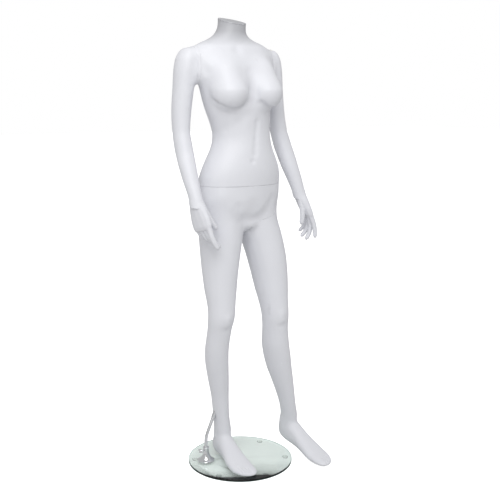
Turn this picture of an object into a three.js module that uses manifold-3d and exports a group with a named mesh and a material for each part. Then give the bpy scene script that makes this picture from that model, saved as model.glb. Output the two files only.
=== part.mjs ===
// A full body display mannequin: hollow moulded shells on a round glass base with a calf rod.
// Millimetres. The origin is on the floor under the middle of the base, +Z is up, the figure
// looks along -Y and its own left side is at +X.
import * as THREE from 'three';
import * as BufferGeometryUtils from 'three/addons/utils/BufferGeometryUtils.js';
import Module from 'manifold-3d';

const wasm = await Module();
wasm.setup();

// ---- driving dimensions ----
const GAP = 0.3;                 // clearance between pieces that touch on the real object
const WALL = 3.6;                // wall of the moulded shells
const PLATE = 5;                 // thickness of the closing plates
const GLASS_DIAMETER = 380;
const GLASS_THICKNESS = 8;
const BUMPER_HEIGHT = 5;
const BUMPER_DIAMETER = 20;
const RIM_BUMPERS = 6;
const GLASS_TOP = BUMPER_HEIGHT + GLASS_THICKNESS;
const FLANGE_X = -121;
const FLANGE_Y = 42;
const FLANGE_DIAMETER = 62;
const FLANGE_HEIGHT = 54;
const ROD_DIAMETER = 12;
const ROD_BEND_HEIGHT = 104;
const ROD_BEND_LENGTH = 26;      // straight length that each side of the bend takes up
const ROD_FOOT = GLASS_TOP + 16;
const ROD_ENTRY = new THREE.Vector3(-88, 43, 176);
const SOCKET_LENGTH = 78;
const SOCKET_WALL = 2.6;
const SOCKET_TAIL = 14;          // how far the socket runs on below the rod's entry
const FLANGE_BORE = ROD_DIAMETER / 2 + GAP;
const BOLT_RADIUS = 4;
const BOLT_HEAD_RADIUS = 9;
const WING_HEIGHT = 52;
const WING_SHANK_RADIUS = 3;
const NECK_TOP = 1572;
const WAIST_SEAM = 1023;
const NECK_CAP = 4;
const SEAM = 0.6;                // open width of the seams between the body sections
const RIGHT_SHOULDER_SEAM = -162;
const LEFT_SHOULDER_SEAM = 125;
const CROTCH_MIDDLE = 10;
const PLATE_BACK = 6;            // a plate that carries a peg is sunk this far from its seam
const PLATE_FRONT = 1;           // its partner is sunk only this far
const SPIGOT_RADIUS = 15;
const SPIGOT_LENGTH = 34;
const PEG_RADIUS = 8;
const LEG_PEG_LENGTH = 30;
const ARM_PEG_LENGTH = 24;
const PEG_PAD = 5;               // how far a peg's pad stands out round it
const BUSH_RADIUS = 9;
const PIN_RADIUS = 5;
const PIN_DEPTH = 24;            // how far the wrist pin is sunk in the hand
const WRIST_WALL = 24;           // solid end of the forearm around the wrist bush
const ARMPIT = 1374;             // the shoulder seams run up from this height
const THIGH_SEAM = 889;          // height of the thigh seam at the crotch
const THIGH_RISE = 0.2804;       // how steeply it climbs to the outside
const THIGH_PEG_X = 72;
const TRUNK_SIDES = 28;
const LIMB_SIDES = 16;
const ARM_SIDES = 14;
const FINGER_SIDES = 7;

const WHITE = { color: 0xeeedf2, roughness: 0.35, metalness: 0 };
const CHROME = { color: 0xcfd2d6, roughness: 0.12, metalness: 1 };
const STEEL = { color: 0x9a9da2, roughness: 0.4, metalness: 1 };
const GLASS = { color: 0xa9cdb9, roughness: 0.05, metalness: 0 };
const CLEAR_RUBBER = { color: 0xd9dcda, roughness: 0.5, metalness: 0 };
const PLATE_PLASTIC = { color: 0xd8d6d0, roughness: 0.7, metalness: 0 };
const GREY_PLASTIC = { color: 0x85878c, roughness: 0.6, metalness: 0 };

const mannequin = new THREE.Group();
const UP = new THREE.Vector3(0, 0, 1);
const radians = THREE.MathUtils.degToRad;

// ---- solids ----
function solidOf(geometry) {
  geometry.deleteAttribute('normal');
  geometry.deleteAttribute('uv');
  const merged = BufferGeometryUtils.mergeVertices(geometry, 1e-4);
  const vertProperties = new Float32Array(merged.attributes.position.array);
  const triVerts = new Uint32Array(merged.index.array);
  return new wasm.Manifold(new wasm.Mesh({ numProp: 3, vertProperties, triVerts }));
}

function geometryOf(solid) {
  const mesh = solid.getMesh();
  const geometry = new THREE.BufferGeometry();
  geometry.setAttribute('position', new THREE.BufferAttribute(new Float32Array(mesh.vertProperties), 3));
  geometry.setIndex(new THREE.BufferAttribute(new Uint32Array(mesh.triVerts), 1));
  geometry.computeVertexNormals();
  return geometry;
}

function addPiece(name, shape, look) {
  const geometry = shape instanceof THREE.BufferGeometry ? shape : geometryOf(shape);
  const material = new THREE.MeshStandardMaterial({ ...look, flatShading: true });
  const mesh = new THREE.Mesh(geometry, material);
  mesh.name = name;
  mannequin.add(mesh);
  return mesh;
}

// Joins rings of the same count into one closed skin with flat ends.
function skin(rings) {
  const sides = rings[0].length;
  const positions = [];
  const index = [];
  for (const ring of rings) {
    for (const point of ring) positions.push(point.x, point.y, point.z);
  }
  for (let level = 0; level < rings.length - 1; level += 1) {
    for (let side = 0; side < sides; side += 1) {
      const next = (side + 1) % sides;
      const low = level * sides;
      const high = low + sides;
      index.push(low + side, low + next, high + next);
      index.push(low + side, high + next, high + side);
    }
  }
  const last = (rings.length - 1) * sides;
  for (let side = 1; side < sides - 1; side += 1) {
    index.push(0, side + 1, side);
    index.push(last, last + side, last + side + 1);
  }
  const geometry = new THREE.BufferGeometry();
  geometry.setAttribute('position', new THREE.Float32BufferAttribute(positions, 3));
  geometry.setIndex(index);
  return solidOf(geometry);
}

// One section: half-width a to each side, f to the front and b to the back of its middle.
// across and back are unit vectors; power above 2 squares the section off.
function section(middle, across, back, a, f, b, sides, power = 2) {
  const ring = [];
  for (let step = 0; step < sides; step += 1) {
    const angle = (step / sides) * Math.PI * 2;
    const c = Math.cos(angle);
    const s = Math.sin(angle);
    const u = a * Math.sign(c) * Math.abs(c) ** (2 / power);
    const depth = s < 0 ? f : b;
    const v = depth * Math.sign(s) * Math.abs(s) ** (2 / power);
    ring.push(middle.clone().addScaledVector(across, u).addScaledVector(back, v));
  }
  return ring;
}

// Level sections up a limb or the trunk: [z, x, y, a, f, b, turn in degrees].
function levels(stations, sides, inset = 0) {
  const rings = stations.map(([z, x, y, a, f, b, turn = 0]) => {
    const across = new THREE.Vector3(1, 0, 0).applyAxisAngle(UP, radians(turn));
    const back = new THREE.Vector3(0, 1, 0).applyAxisAngle(UP, radians(turn));
    return section(new THREE.Vector3(x, y, z), across, back, a - inset, f - inset, b - inset, sides);
  });
  return skin(rings);
}

function ellipsoid(x, y, z, rx, ry, rz, inset = 0, detail = inset ? 8 : 14) {
  const geometry = new THREE.SphereGeometry(1, detail, Math.round(detail * 0.7));
  geometry.scale(rx - inset, ry - inset, rz - inset);
  geometry.translate(x, y, z);
  return solidOf(geometry);
}

// A big block on the side of a plane that its normal points to.
function halfSpace(point, normal) {
  const size = 4400;
  const geometry = new THREE.BoxGeometry(size, size, size);
  geometry.translate(0, 0, size / 2);
  const turn = new THREE.Quaternion().setFromUnitVectors(UP, normal.clone().normalize());
  geometry.applyQuaternion(turn);
  geometry.translate(point.x, point.y, point.z);
  return solidOf(geometry);
}

// The slice of a solid between two distances along a plane's normal.
function slab(solid, point, normal, from, to) {
  const unit = normal.clone().normalize();
  const low = point.clone().addScaledVector(unit, from);
  const high = point.clone().addScaledVector(unit, to);
  return solid.intersect(halfSpace(low, unit)).subtract(halfSpace(high, unit));
}

// A round bar between two points.
function bar(start, end, radius, sides = 14, endRadius = radius) {
  const direction = end.clone().sub(start);
  const geometry = new THREE.CylinderGeometry(endRadius, radius, direction.length(), sides);
  geometry.rotateX(Math.PI / 2);
  geometry.applyQuaternion(new THREE.Quaternion().setFromUnitVectors(UP, direction.clone().normalize()));
  const centre = start.clone().add(end).multiplyScalar(0.5);
  geometry.translate(centre.x, centre.y, centre.z);
  return solidOf(geometry);
}

function union(solids) {
  return solids.reduce((whole, solid) => whole.add(solid));
}

// ---- the figure's sections ----
const TRUNK = [
  [886, 2, 14, 62, 62, 66],
  [900, 0, 14, 122, 80, 96],
  [925, -3, 12, 150, 92, 104],
  [950, -4, 10, 160, 97, 106],
  [985, -2, 8, 160, 98, 103],
  [1018, 0, 5, 157, 97, 102],
  [1050, 2, 2, 155, 97, 97],
  [1080, 4, 0, 147, 96, 91],
  [1110, 5, 0, 134, 93, 82],
  [1140, 6, 0, 119, 89, 75],
  [1165, 7, 0, 110, 85, 73],
  [1184, 7, 0, 107, 83, 74],
  [1208, 6, 0, 109, 81, 77, 4],
  [1242, 2, 0, 117, 82, 84, 6],
  [1276, -5, 0, 124, 85, 90, 6],
  [1310, -9, 0, 130, 86, 96, 5],
  [1350, -12, 0, 136, 84, 100, 3],
  [1390, -16, 4, 142, 83, 96, 1],
  [1420, -19, 8, 150, 80, 88],
  [1445, -20, 13, 158, 74, 76],
  [1465, -20, 17, 162, 66, 64],
  [1480, -20, 20, 156, 58, 53],
  [1491, -20, 21, 138, 52, 47],
  [1500, -21, 21, 110, 49, 46],
  [1509, -23, 21, 85, 49, 46],
  [1520, -24, 21, 64, 49, 46],
  [1534, -22, 21, 52, 48, 46],
  [1549, -18, 20, 48, 46.5, 46],
  [1563, -17, 18, 47.5, 47, 47],
  [1580, -16.5, 17, 50, 49.5, 50],
  [1610, -16, 16, 54, 53, 54],
];
const BREASTS = [
  [-78, -58, 1337, 64, 68, 66],
  [-78, -36, 1376, 58, 62, 84],
  [66, -57, 1339, 60, 68, 66],
  [60, -36, 1378, 56, 62, 84],
];
const BUTTOCKS = [
  [-78, 44, 944, 78, 80, 88],
  [72, 44, 946, 78, 80, 88],
];
const RIGHT_LEG = [
  [70, -46, 54, 27, 36, 34, -4],
  [119, -46, 48, 31, 38, 38, -4],
  [150, -50, 46, 28, 36, 36, -4],
  [188, -56, 43, 28, 37, 37, -5],
  [255, -65, 34, 31, 37, 37, -5],
  [317, -76, 25, 37, 41, 43, -6],
  [391, -90, 12, 41, 45, 51, -6],
  [439, -96, 2, 41, 46, 52, -6],
  [478, -97, -8, 41, 45, 48, -6],
  [525, -97, -20, 42, 45, 45, -5],
  [547, -96, -25, 45, 49, 46, -4],
  [572, -94, -28, 47, 51, 47, -3],
  [607, -92, -24, 48, 53, 52, -2],
  [659, -90, -15, 55, 61, 61, -1],
  [728, -86, -6, 62, 70, 70],
  [796, -79, 2, 70, 77, 77],
  [850, -73, 7, 76, 80, 86],
  [905, -71, 11, 80, 80, 93],
  [945, -72, 12, 84, 82, 98],
];
const LEFT_LEG = [
  [95, 208, -6, 27, 34, 36, 8],
  [130, 210, -17, 30, 34, 36, 8],
  [152, 206, -22, 29, 33, 34, 8],
  [180, 197, -27, 28, 33, 34, 9],
  [211, 188, -31, 29, 35, 36, 10],
  [253, 176, -34, 32, 39, 42, 11],
  [302, 162, -37, 37, 43, 50, 12],
  [342, 150, -39, 41, 46, 57, 13],
  [390, 138, -42, 44, 50, 60, 14],
  [440, 126, -45, 45, 52, 57, 14],
  [485, 120, -49, 44, 50, 50, 13],
  [516, 117, -53, 44, 49, 48, 12],
  [540, 115, -55, 46, 53, 50, 11],
  [565, 114, -55, 48, 56, 53, 10],
  [600, 112, -48, 51, 58, 58, 9],
  [640, 111, -39, 56, 63, 65, 7],
  [700, 109, -27, 63, 70, 72, 5],
  [760, 104, -15, 69, 76, 78, 3],
  [820, 94, -3, 73, 79, 85, 1],
  [905, 70, 11, 80, 80, 93],
  [945, 66, 12, 84, 82, 98],
];
const RIGHT_ARM = [
  [960, -208, -64, 22, 25, 25, 14],
  [1000, -208, -50, 22, 26, 26, 12],
  [1042, -209, -28, 26, 29, 29, 8],
  [1071, -209, -15, 28, 31, 32, 6],
  [1107, -208, 3, 30, 33, 34, 4],
  [1140, -206, 20, 30, 34, 36, 2],
  [1169, -207, 28, 30, 34, 36],
  [1205, -208, 37, 28, 34, 34],
  [1251, -206, 40, 31, 37, 37],
  [1297, -203, 39, 33, 39, 39],
  [1349, -198, 36, 34, 42, 42],
  [1407, -193, 32, 37, 44, 44],
  [1445, -187, 30, 37, 43, 43],
  [1468, -180, 29, 31, 37, 36],
  [1480, -172, 28, 23, 28, 27],
];
const LEFT_ARM = [
  [960, 243, -30, 24, 24, 24, -14],
  [1000, 235, -21, 25, 26, 26, -12],
  [1042, 225, -9, 29, 30, 30, -8],
  [1071, 217, -1, 31, 32, 33, -6],
  [1107, 210, 11, 33, 34, 35, -4],
  [1140, 203, 22, 33, 35, 36, -2],
  [1169, 198, 30, 32, 35, 36],
  [1205, 190, 37, 30, 34, 34],
  [1251, 181, 40, 31, 37, 37],
  [1297, 173, 39, 32, 39, 39],
  [1349, 164, 36, 33, 42, 42],
  [1407, 155, 32, 36, 44, 44],
  [1447, 147, 30, 37, 43, 43],
  [1470, 140, 29, 31, 37, 36],
  [1482, 132, 28, 23, 28, 27],
];
// Along a foot: [distance from the heel, sideways shift, half-width, sole height, top height].
const FOOT = [
  [0, 0, 12, 14, 44],
  [9, 0, 22, 5, 66],
  [28, 0, 29, 0.5, 86],
  [58, 0, 31, 1, 96],
  [92, -1, 31, 5, 84],
  [128, -2, 35, 6, 66],
  [165, -4, 41, 3, 49],
  [198, -3, 44, 0.5, 37],
  [228, 0, 42, 0.5, 28],
  [250, 5, 35, 2, 23],
  [266, 9, 23, 4, 18],
  [272, 11, 12, 7, 15],
];

// A foot lies along a heading in plan; lift raises the sole above its resting height.
function foot(heel, heading, mirror, lift, inset = 0) {
  const ahead = new THREE.Vector3(Math.sin(radians(heading)), -Math.cos(radians(heading)), 0);
  const across = new THREE.Vector3(-ahead.y, ahead.x, 0);
  const reach = FOOT[FOOT.length - 1][0];
  const rings = FOOT.map(([along, shift, half, low, high]) => {
    const raise = lift * Math.max(0, 1 - along / (reach * 0.7)) ** 1.15;
    const tall = (high - low) / 2;
    const forward = Math.min(Math.max(along, inset), reach - inset);
    const shrink = forward - lift * 0.17 * (forward / reach);
    const middle = heel.clone().addScaledVector(ahead, shrink).addScaledVector(across, shift * mirror);
    middle.z += (low + high) / 2 + raise;
    const wide = Math.max(half - inset, 2);
    return section(middle, across, UP, wide, Math.max(tall - inset, 2), Math.max(tall - inset, 2),
      inset ? LIMB_SIDES / 2 : LIMB_SIDES, 2.4);
  });
  return skin(rings);
}

// ---- seam planes ----
const WAIST = new THREE.Vector3(0, 0, WAIST_SEAM);
const NECK = new THREE.Vector3(-17, 18, NECK_TOP);
const NECK_NORMAL = new THREE.Vector3(0.06, -0.26, 1).normalize();
const THIGH = new THREE.Vector3(CROTCH_MIDDLE, 12, THIGH_SEAM);
const THIGH_NORMAL = new THREE.Vector3(-0.27, 0, 0.963).normalize();
const THIGH_PEG = THIGH.clone().setX(THIGH_PEG_X);
THIGH_PEG.z += (THIGH_PEG_X - CROTCH_MIDDLE) * THIGH_RISE;
const ACROSS = new THREE.Vector3(1, 0, 0);
const SIDES = {
  right: {
    arm: RIGHT_ARM,
    seam: new THREE.Vector3(RIGHT_SHOULDER_SEAM, 24, 1430),
    outward: new THREE.Vector3(-1, 0, 0),
    wrist: new THREE.Vector3(-208, -55.6, 984),
    forearm: new THREE.Vector3(0.01, -0.36, -0.933).normalize(),
    hand: new THREE.Vector3(0.14, -0.23, -0.963).normalize(),
    thumb: new THREE.Vector3(0.26, -0.966, 0),
    mirror: 1,
  },
  left: {
    arm: LEFT_ARM,
    seam: new THREE.Vector3(LEFT_SHOULDER_SEAM, 24, 1430),
    outward: new THREE.Vector3(1, 0, 0),
    wrist: new THREE.Vector3(238, -24, 984),
    forearm: new THREE.Vector3(0.208, -0.243, -0.948).normalize(),
    hand: new THREE.Vector3(0.38, -0.14, -0.914).normalize(),
    thumb: new THREE.Vector3(-0.26, -0.966, 0),
    mirror: -1,
  },
};
// [sideways from the middle, length, knuckle bends in degrees, thickness]
const FINGERS = [
  [28, 82, [4, 10, 10], 9.2],
  [9.5, 92, [14, 22, 18], 9.5],
  [-9.5, 86, [20, 26, 20], 9.1],
  [-27, 69, [24, 28, 22], 8.2],
];
const PALM = [
  [-14, 24, 21],
  [12, 27, 19.5],
  [38, 34, 18],
  [66, 40, 16],
  [90, 40.5, 14],
  [101, 37, 10],
];
const PALM_REACH = 93;

// ---- hands ----
// A finger is three straight lengths, each bent further towards the palm, with a round tip.
function finger(root, down, palm, across, length, bends, radius) {
  const shares = [0.44, 0.31, 0.25];
  const point = root.clone();
  const buried = root.clone().addScaledVector(down, -12);
  const rings = [section(buried, across, palm, radius, radius, radius, FINGER_SIDES)];
  let angle = 0;
  shares.forEach((share, joint) => {
    angle += radians(bends[joint]);
    const direction = down.clone().multiplyScalar(Math.cos(angle)).addScaledVector(palm, Math.sin(angle));
    const back = palm.clone().multiplyScalar(Math.cos(angle)).addScaledVector(down, -Math.sin(angle));
    const reach = length * share;
    const thick = radius * (1 - joint * 0.09);
    const start = point.clone().addScaledVector(direction, reach * 0.14);
    const end = point.clone().addScaledVector(direction, reach * 0.84);
    rings.push(section(start, across, back, thick, thick, thick, FINGER_SIDES));
    rings.push(section(end, across, back, thick * 0.94, thick * 0.92, thick * 0.92, FINGER_SIDES));
    point.addScaledVector(direction, reach);
    if (joint === 2) {
      rings.push(section(point, across, back, thick * 0.72, thick * 0.6, thick * 0.6, FINGER_SIDES));
      const tip = point.clone().addScaledVector(direction, thick * 0.42);
      rings.push(section(tip, across, back, thick * 0.3, thick * 0.26, thick * 0.26, FINGER_SIDES));
    }
  });
  return skin(rings);
}

function hand(side) {
  const down = side.hand;
  const thumb = side.thumb.clone().addScaledVector(down, -side.thumb.dot(down)).normalize();
  const palm = thumb.clone().cross(down).multiplyScalar(side.mirror).normalize();
  const across = palm.clone().cross(down).normalize();
  const palmRings = PALM.map(([along, half, thick]) => {
    const middle = side.wrist.clone().addScaledVector(down, along);
    return section(middle, across, palm, half, thick, thick, 12, 2.3);
  });
  const solids = [skin(palmRings)];
  for (const [shift, length, bends, radius] of FINGERS) {
    const root = side.wrist.clone().addScaledVector(down, PALM_REACH).addScaledVector(thumb, shift);
    solids.push(finger(root, down, palm, across, length, bends, radius));
  }
  const thumbRoot = side.wrist.clone().addScaledVector(down, 22).addScaledVector(thumb, 15);
  thumbRoot.addScaledVector(palm, 8);
  const thumbDown = down.clone().multiplyScalar(0.95).addScaledVector(thumb, 0.1).addScaledVector(palm, 0.24);
  thumbDown.normalize();
  const thumbPalm = palm.clone().addScaledVector(thumb, -0.5);
  thumbPalm.addScaledVector(thumbDown, -thumbPalm.dot(thumbDown)).normalize();
  const thumbAcross = thumbPalm.clone().cross(thumbDown).normalize();
  solids.push(finger(thumbRoot, thumbDown, thumbPalm, thumbAcross, 92, [0, 10, 12], 11));
  return union(solids);
}

// ---- moulded body ----
const RIGHT_HEEL = new THREE.Vector3(-40, 100, GLASS_TOP);
const LEFT_HEEL = new THREE.Vector3(208, 32, 1.5);

function bodyOf(inset) {
  const trunk = union([
    levels(TRUNK, inset ? TRUNK_SIDES / 2 : TRUNK_SIDES, inset),
    ...BREASTS.map((row) => ellipsoid(...row, inset)),
    ...BUTTOCKS.map((row) => ellipsoid(...row, inset)),
  ]);
  const sides = inset ? LIMB_SIDES / 2 : LIMB_SIDES;
  const rightLeg = union([levels(RIGHT_LEG, sides, inset), foot(RIGHT_HEEL, -6, 1, 4, inset)]);
  const leftLeg = union([levels(LEFT_LEG, sides, inset), foot(LEFT_HEEL, 7, -1, 44, inset)]);
  return union([trunk, rightLeg, leftLeg]);
}

function armOf(side, inset) {
  return levels(side.arm, inset ? ARM_SIDES / 2 + 1 : ARM_SIDES, inset);
}

const HOLLOW = WALL + 0.4;
const PLATE_ROOM = HOLLOW + GAP;
const arms = Object.values(SIDES);
const body = bodyOf(0);
const bodyHollow = bodyOf(HOLLOW);
const plateRoom = bodyOf(PLATE_ROOM);
const aboveWaist = halfSpace(WAIST.clone().addScaledVector(UP, SEAM / 2), UP);
const belowWaist = halfSpace(WAIST.clone().addScaledVector(UP, -SEAM / 2), UP.clone().negate());
const underCap = NECK.clone().addScaledVector(NECK_NORMAL, -NECK_CAP - GAP);
const belowNeck = halfSpace(underCap, NECK_NORMAL.clone().negate());

function beyond(x, direction) {
  return halfSpace(new THREE.Vector3(x, 0, 0), ACROSS.clone().multiplyScalar(direction));
}

function biggest(solid) {
  const parts = solid.decompose();
  return parts.reduce((best, part) => (part.volume() > best.volume() ? part : best));
}

// ---- base ----
function onFlangeAxis(z) {
  return new THREE.Vector3(FLANGE_X, FLANGE_Y, z);
}

function glassBase() {
  const r = GLASS_DIAMETER / 2;
  const low = BUMPER_HEIGHT;
  const high = GLASS_TOP;
  const bevel = 1.2;
  const holeRadius = 6;
  const outline = [
    [0, low], [r - bevel, low], [r, low + bevel], [r, high - bevel], [r - bevel, high], [0, high],
  ];
  const disc = solidOf(lathe(outline, 48));
  return disc.subtract(bar(onFlangeAxis(low - 1), onFlangeAxis(high + 1), holeRadius));
}

function lathe(outline, sides) {
  const points = outline.map(([r, z]) => new THREE.Vector2(r, z));
  const geometry = new THREE.LatheGeometry(points, sides);
  geometry.rotateX(Math.PI / 2);
  return geometry;
}

function bumper(x, y) {
  const r = BUMPER_DIAMETER / 2;
  const top = BUMPER_HEIGHT - GAP;
  const outline = [[0, 0], [r - 2.5, 0], [r - 0.6, 1.6], [r, top], [0, top]];
  const geometry = lathe(outline, 12);
  geometry.translate(x, y, 0);
  return solidOf(geometry);
}

const ROD_UP = ROD_ENTRY.clone().sub(onFlangeAxis(ROD_BEND_HEIGHT)).normalize();
const WING_OUT = new THREE.Vector3(-0.934, 0.356, 0).normalize();

function flange() {
  const base = GLASS_TOP + 1.5;
  const top = GLASS_TOP + FLANGE_HEIGHT;
  const r = FLANGE_DIAMETER / 2;
  const outline = [
    [0, base], [r - 2, base], [r, base + 2], [r - 0.6, base + 4.4], [r - 5, base + 4.2], [19, base + 6],
    [16.6, base + 9], [14.6, base + 18], [12, base + 28], [10.6, base + 36], [10.2, top - 5], [11.4, top - 4],
    [11.4, top - 1], [10.4, top], [0, top],
  ];
  const geometry = lathe(outline, 20);
  geometry.translate(FLANGE_X, FLANGE_Y, 0);
  const bore = bar(onFlangeAxis(ROD_FOOT - GAP), onFlangeAxis(top + 2), FLANGE_BORE);
  const boltHole = bar(onFlangeAxis(0), onFlangeAxis(ROD_FOOT + 1), BOLT_RADIUS + GAP, 16);
  const screwStart = onFlangeAxis(WING_HEIGHT);
  const screwEnd = screwStart.clone().addScaledVector(WING_OUT, 40);
  const screwHole = bar(screwStart, screwEnd, WING_SHANK_RADIUS + GAP, 16);
  return solidOf(geometry).subtract(bore).subtract(boltHole).subtract(screwHole);
}

function gasket() {
  const inner = 6;
  const outer = 29;
  const low = GLASS_TOP + GAP;
  const high = GLASS_TOP + 1.2;
  const outline = [[inner, low], [outer, low], [outer, high], [inner, high], [inner, low]];
  const geometry = lathe(outline, 20);
  geometry.translate(FLANGE_X, FLANGE_Y, 0);
  return solidOf(geometry);
}

function bolt() {
  const shank = bar(onFlangeAxis(3), onFlangeAxis(ROD_FOOT - 2), BOLT_RADIUS, 16);
  return shank.add(bar(onFlangeAxis(1.2), onFlangeAxis(BUMPER_HEIGHT - GAP), BOLT_HEAD_RADIUS, 24));
}

function wingScrew() {
  const out = (distance) => onFlangeAxis(WING_HEIGHT).addScaledVector(WING_OUT, distance);
  const shank = bar(out(FLANGE_BORE + 0.2), out(16), WING_SHANK_RADIUS, 16);
  const hub = bar(out(13.2), out(22), 5.2, 18, 4.2);
  const sideways = new THREE.Vector3(-WING_OUT.y, WING_OUT.x, 0);
  const wings = [1, -1].map((way) => {
    const ear = new THREE.SphereGeometry(1, 10, 6);
    ear.scale(7.5, 8.5, 1.9);
    ear.translate(6.5, way * 9.5, 0);
    const basis = new THREE.Matrix4().makeBasis(WING_OUT, sideways, UP);
    ear.applyMatrix4(basis);
    const place = out(15);
    ear.translate(place.x, place.y, place.z);
    return solidOf(ear);
  });
  return union([shank, hub, ...wings]);
}

function rodSolid() {
  const bend = onFlangeAxis(ROD_BEND_HEIGHT);
  const top = alongRod(SOCKET_LENGTH - 6);
  const beforeBend = bend.clone().addScaledVector(UP, -ROD_BEND_LENGTH);
  const afterBend = bend.clone().addScaledVector(ROD_UP, ROD_BEND_LENGTH);
  const path = new THREE.CurvePath();
  path.add(new THREE.LineCurve3(onFlangeAxis(ROD_FOOT), beforeBend));
  path.add(new THREE.QuadraticBezierCurve3(beforeBend, bend, afterBend));
  path.add(new THREE.LineCurve3(afterBend, top));
  const round = new THREE.Shape();
  round.absarc(0, 0, ROD_DIAMETER / 2, 0, Math.PI * 2, false);
  return solidOf(new THREE.ExtrudeGeometry(round, { steps: 16, extrudePath: path, curveSegments: 7 }));
}

function buildBase() {
  addPiece('glass_base', glassBase(), GLASS);
  addPiece('bumper_centre', bumper(0, 0), CLEAR_RUBBER);
  for (let place = 0; place < RIM_BUMPERS; place += 1) {
    const angle = (place / RIM_BUMPERS) * Math.PI * 2 + radians(30);
    const r = GLASS_DIAMETER / 2 - 24;
    const rimBumper = bumper(r * Math.cos(angle), r * Math.sin(angle));
    addPiece(`bumper_rim_${place + 1}`, rimBumper, CLEAR_RUBBER);
  }
  addPiece('flange_gasket', gasket(), CLEAR_RUBBER);
  addPiece('base_flange', flange(), CHROME);
  addPiece('flange_bolt', bolt(), STEEL);
  addPiece('wing_screw', wingScrew(), CHROME);
  addPiece('support_rod', rodSolid(), CHROME);
}

// ---- socket in the right calf ----
const SOCKET_RADIUS = ROD_DIAMETER / 2 + SOCKET_WALL;

function alongRod(distance) {
  return ROD_ENTRY.clone().addScaledVector(ROD_UP, distance);
}

const socketRoom = bar(alongRod(-40), alongRod(SOCKET_LENGTH + 1), SOCKET_RADIUS + GAP);

function calfSocket() {
  const tube = bar(alongRod(-SOCKET_TAIL), alongRod(SOCKET_LENGTH), SOCKET_RADIUS);
  return tube.subtract(bar(alongRod(-SOCKET_TAIL - 5), alongRod(SOCKET_LENGTH - 4), FLANGE_BORE));
}

// ---- lower body: pelvis and right leg in one shell, and the left leg that comes off ----
const lower = body.intersect(belowWaist);
const legTop = THIGH.clone().addScaledVector(THIGH_NORMAL, -SEAM / 2);
const legBelow = halfSpace(legTop, THIGH_NORMAL.clone().negate());
const bodyAbove = halfSpace(THIGH.clone().addScaledVector(THIGH_NORMAL, SEAM / 2), THIGH_NORMAL);
const leftOfCrotch = beyond(CROTCH_MIDDLE + SEAM / 2, 1);
const rightOfCrotch = beyond(CROTCH_MIDDLE - SEAM / 2, -1);
const lowerRegion = rightOfCrotch.add(bodyAbove);

const thighRoom = plateRoom.intersect(leftOfCrotch);

// The plate that carries a peg, a little way behind its seam.
function backPlate(space, point, normal) {
  return biggest(slab(space, point, normal, PLATE_BACK, PLATE_BACK + PLATE));
}

// The partner's plate, close behind the seam, with a hole that the peg goes through.
function frontPlate(space, point, normal, pegPoint, pegRadius) {
  const plate = biggest(slab(space, point, normal, PLATE_FRONT, PLATE_FRONT + PLATE));
  const start = pegPoint.clone().addScaledVector(normal, PLATE_FRONT - 2);
  const end = pegPoint.clone().addScaledVector(normal, PLATE_FRONT + PLATE + 2);
  return plate.subtract(bar(start, end, pegRadius + 1));
}

// A flanged peg that stands on its plate and reaches through the partner's hole.
function peg(start, direction, radius, length) {
  const unit = direction.clone().normalize();
  const pad = bar(start, start.clone().addScaledVector(unit, 3), radius + PEG_PAD);
  return pad.add(bar(start, start.clone().addScaledVector(unit, length), radius, 14, radius - 1));
}

function buildLowerBody() {
  const shell = lower.intersect(lowerRegion).subtract(bodyHollow).subtract(socketRoom);
  addPiece('lower_body_shell', biggest(shell), WHITE);
  addPiece('hip_plate', backPlate(plateRoom, WAIST, UP.clone().negate()), PLATE_PLASTIC);
  const spigotFoot = WAIST.clone().addScaledVector(UP, GAP - PLATE_BACK);
  addPiece('waist_spigot', peg(spigotFoot, UP, SPIGOT_RADIUS, SPIGOT_LENGTH), STEEL);
  const thighPlate = frontPlate(thighRoom, THIGH, THIGH_NORMAL, THIGH_PEG, PEG_RADIUS);
  addPiece('thigh_plate', thighPlate, PLATE_PLASTIC);
  addPiece('calf_socket', calfSocket(), STEEL);
}

function buildLeftLeg() {
  const shell = lower.intersect(leftOfCrotch).intersect(legBelow).subtract(bodyHollow);
  addPiece('left_leg_shell', biggest(shell), WHITE);
  const plate = backPlate(thighRoom, THIGH, THIGH_NORMAL.clone().negate());
  addPiece('left_leg_plate', plate, PLATE_PLASTIC);
  const pegFoot = THIGH_PEG.clone().addScaledVector(THIGH_NORMAL, GAP - PLATE_BACK);
  addPiece('left_leg_peg', peg(pegFoot, THIGH_NORMAL, PEG_RADIUS, LEG_PEG_LENGTH), STEEL);
}

// ---- torso, its plates and the cap of the neck ----
const aboveArmpits = halfSpace(new THREE.Vector3(0, 0, ARMPIT), UP);
const belowArmpits = halfSpace(new THREE.Vector3(0, 0, ARMPIT), UP.clone().negate());
const upperBody = body.intersect(aboveWaist);

// The trunk and both arms as one solid, from the armpits up.
function shouldersOf(trunk, inset) {
  return union([trunk, ...arms.map((side) => armOf(side, inset))]).intersect(aboveArmpits);
}

const shoulders = shouldersOf(upperBody, 0);
const shoulderHollow = shouldersOf(bodyHollow, HOLLOW);
const shoulderRoom = shouldersOf(plateRoom, PLATE_ROOM);
const leftOfRightSeam = beyond(RIGHT_SHOULDER_SEAM + SEAM / 2, 1);
const rightOfLeftSeam = beyond(LEFT_SHOULDER_SEAM - SEAM / 2, -1);
const betweenShoulders = leftOfRightSeam.intersect(rightOfLeftSeam);

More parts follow.
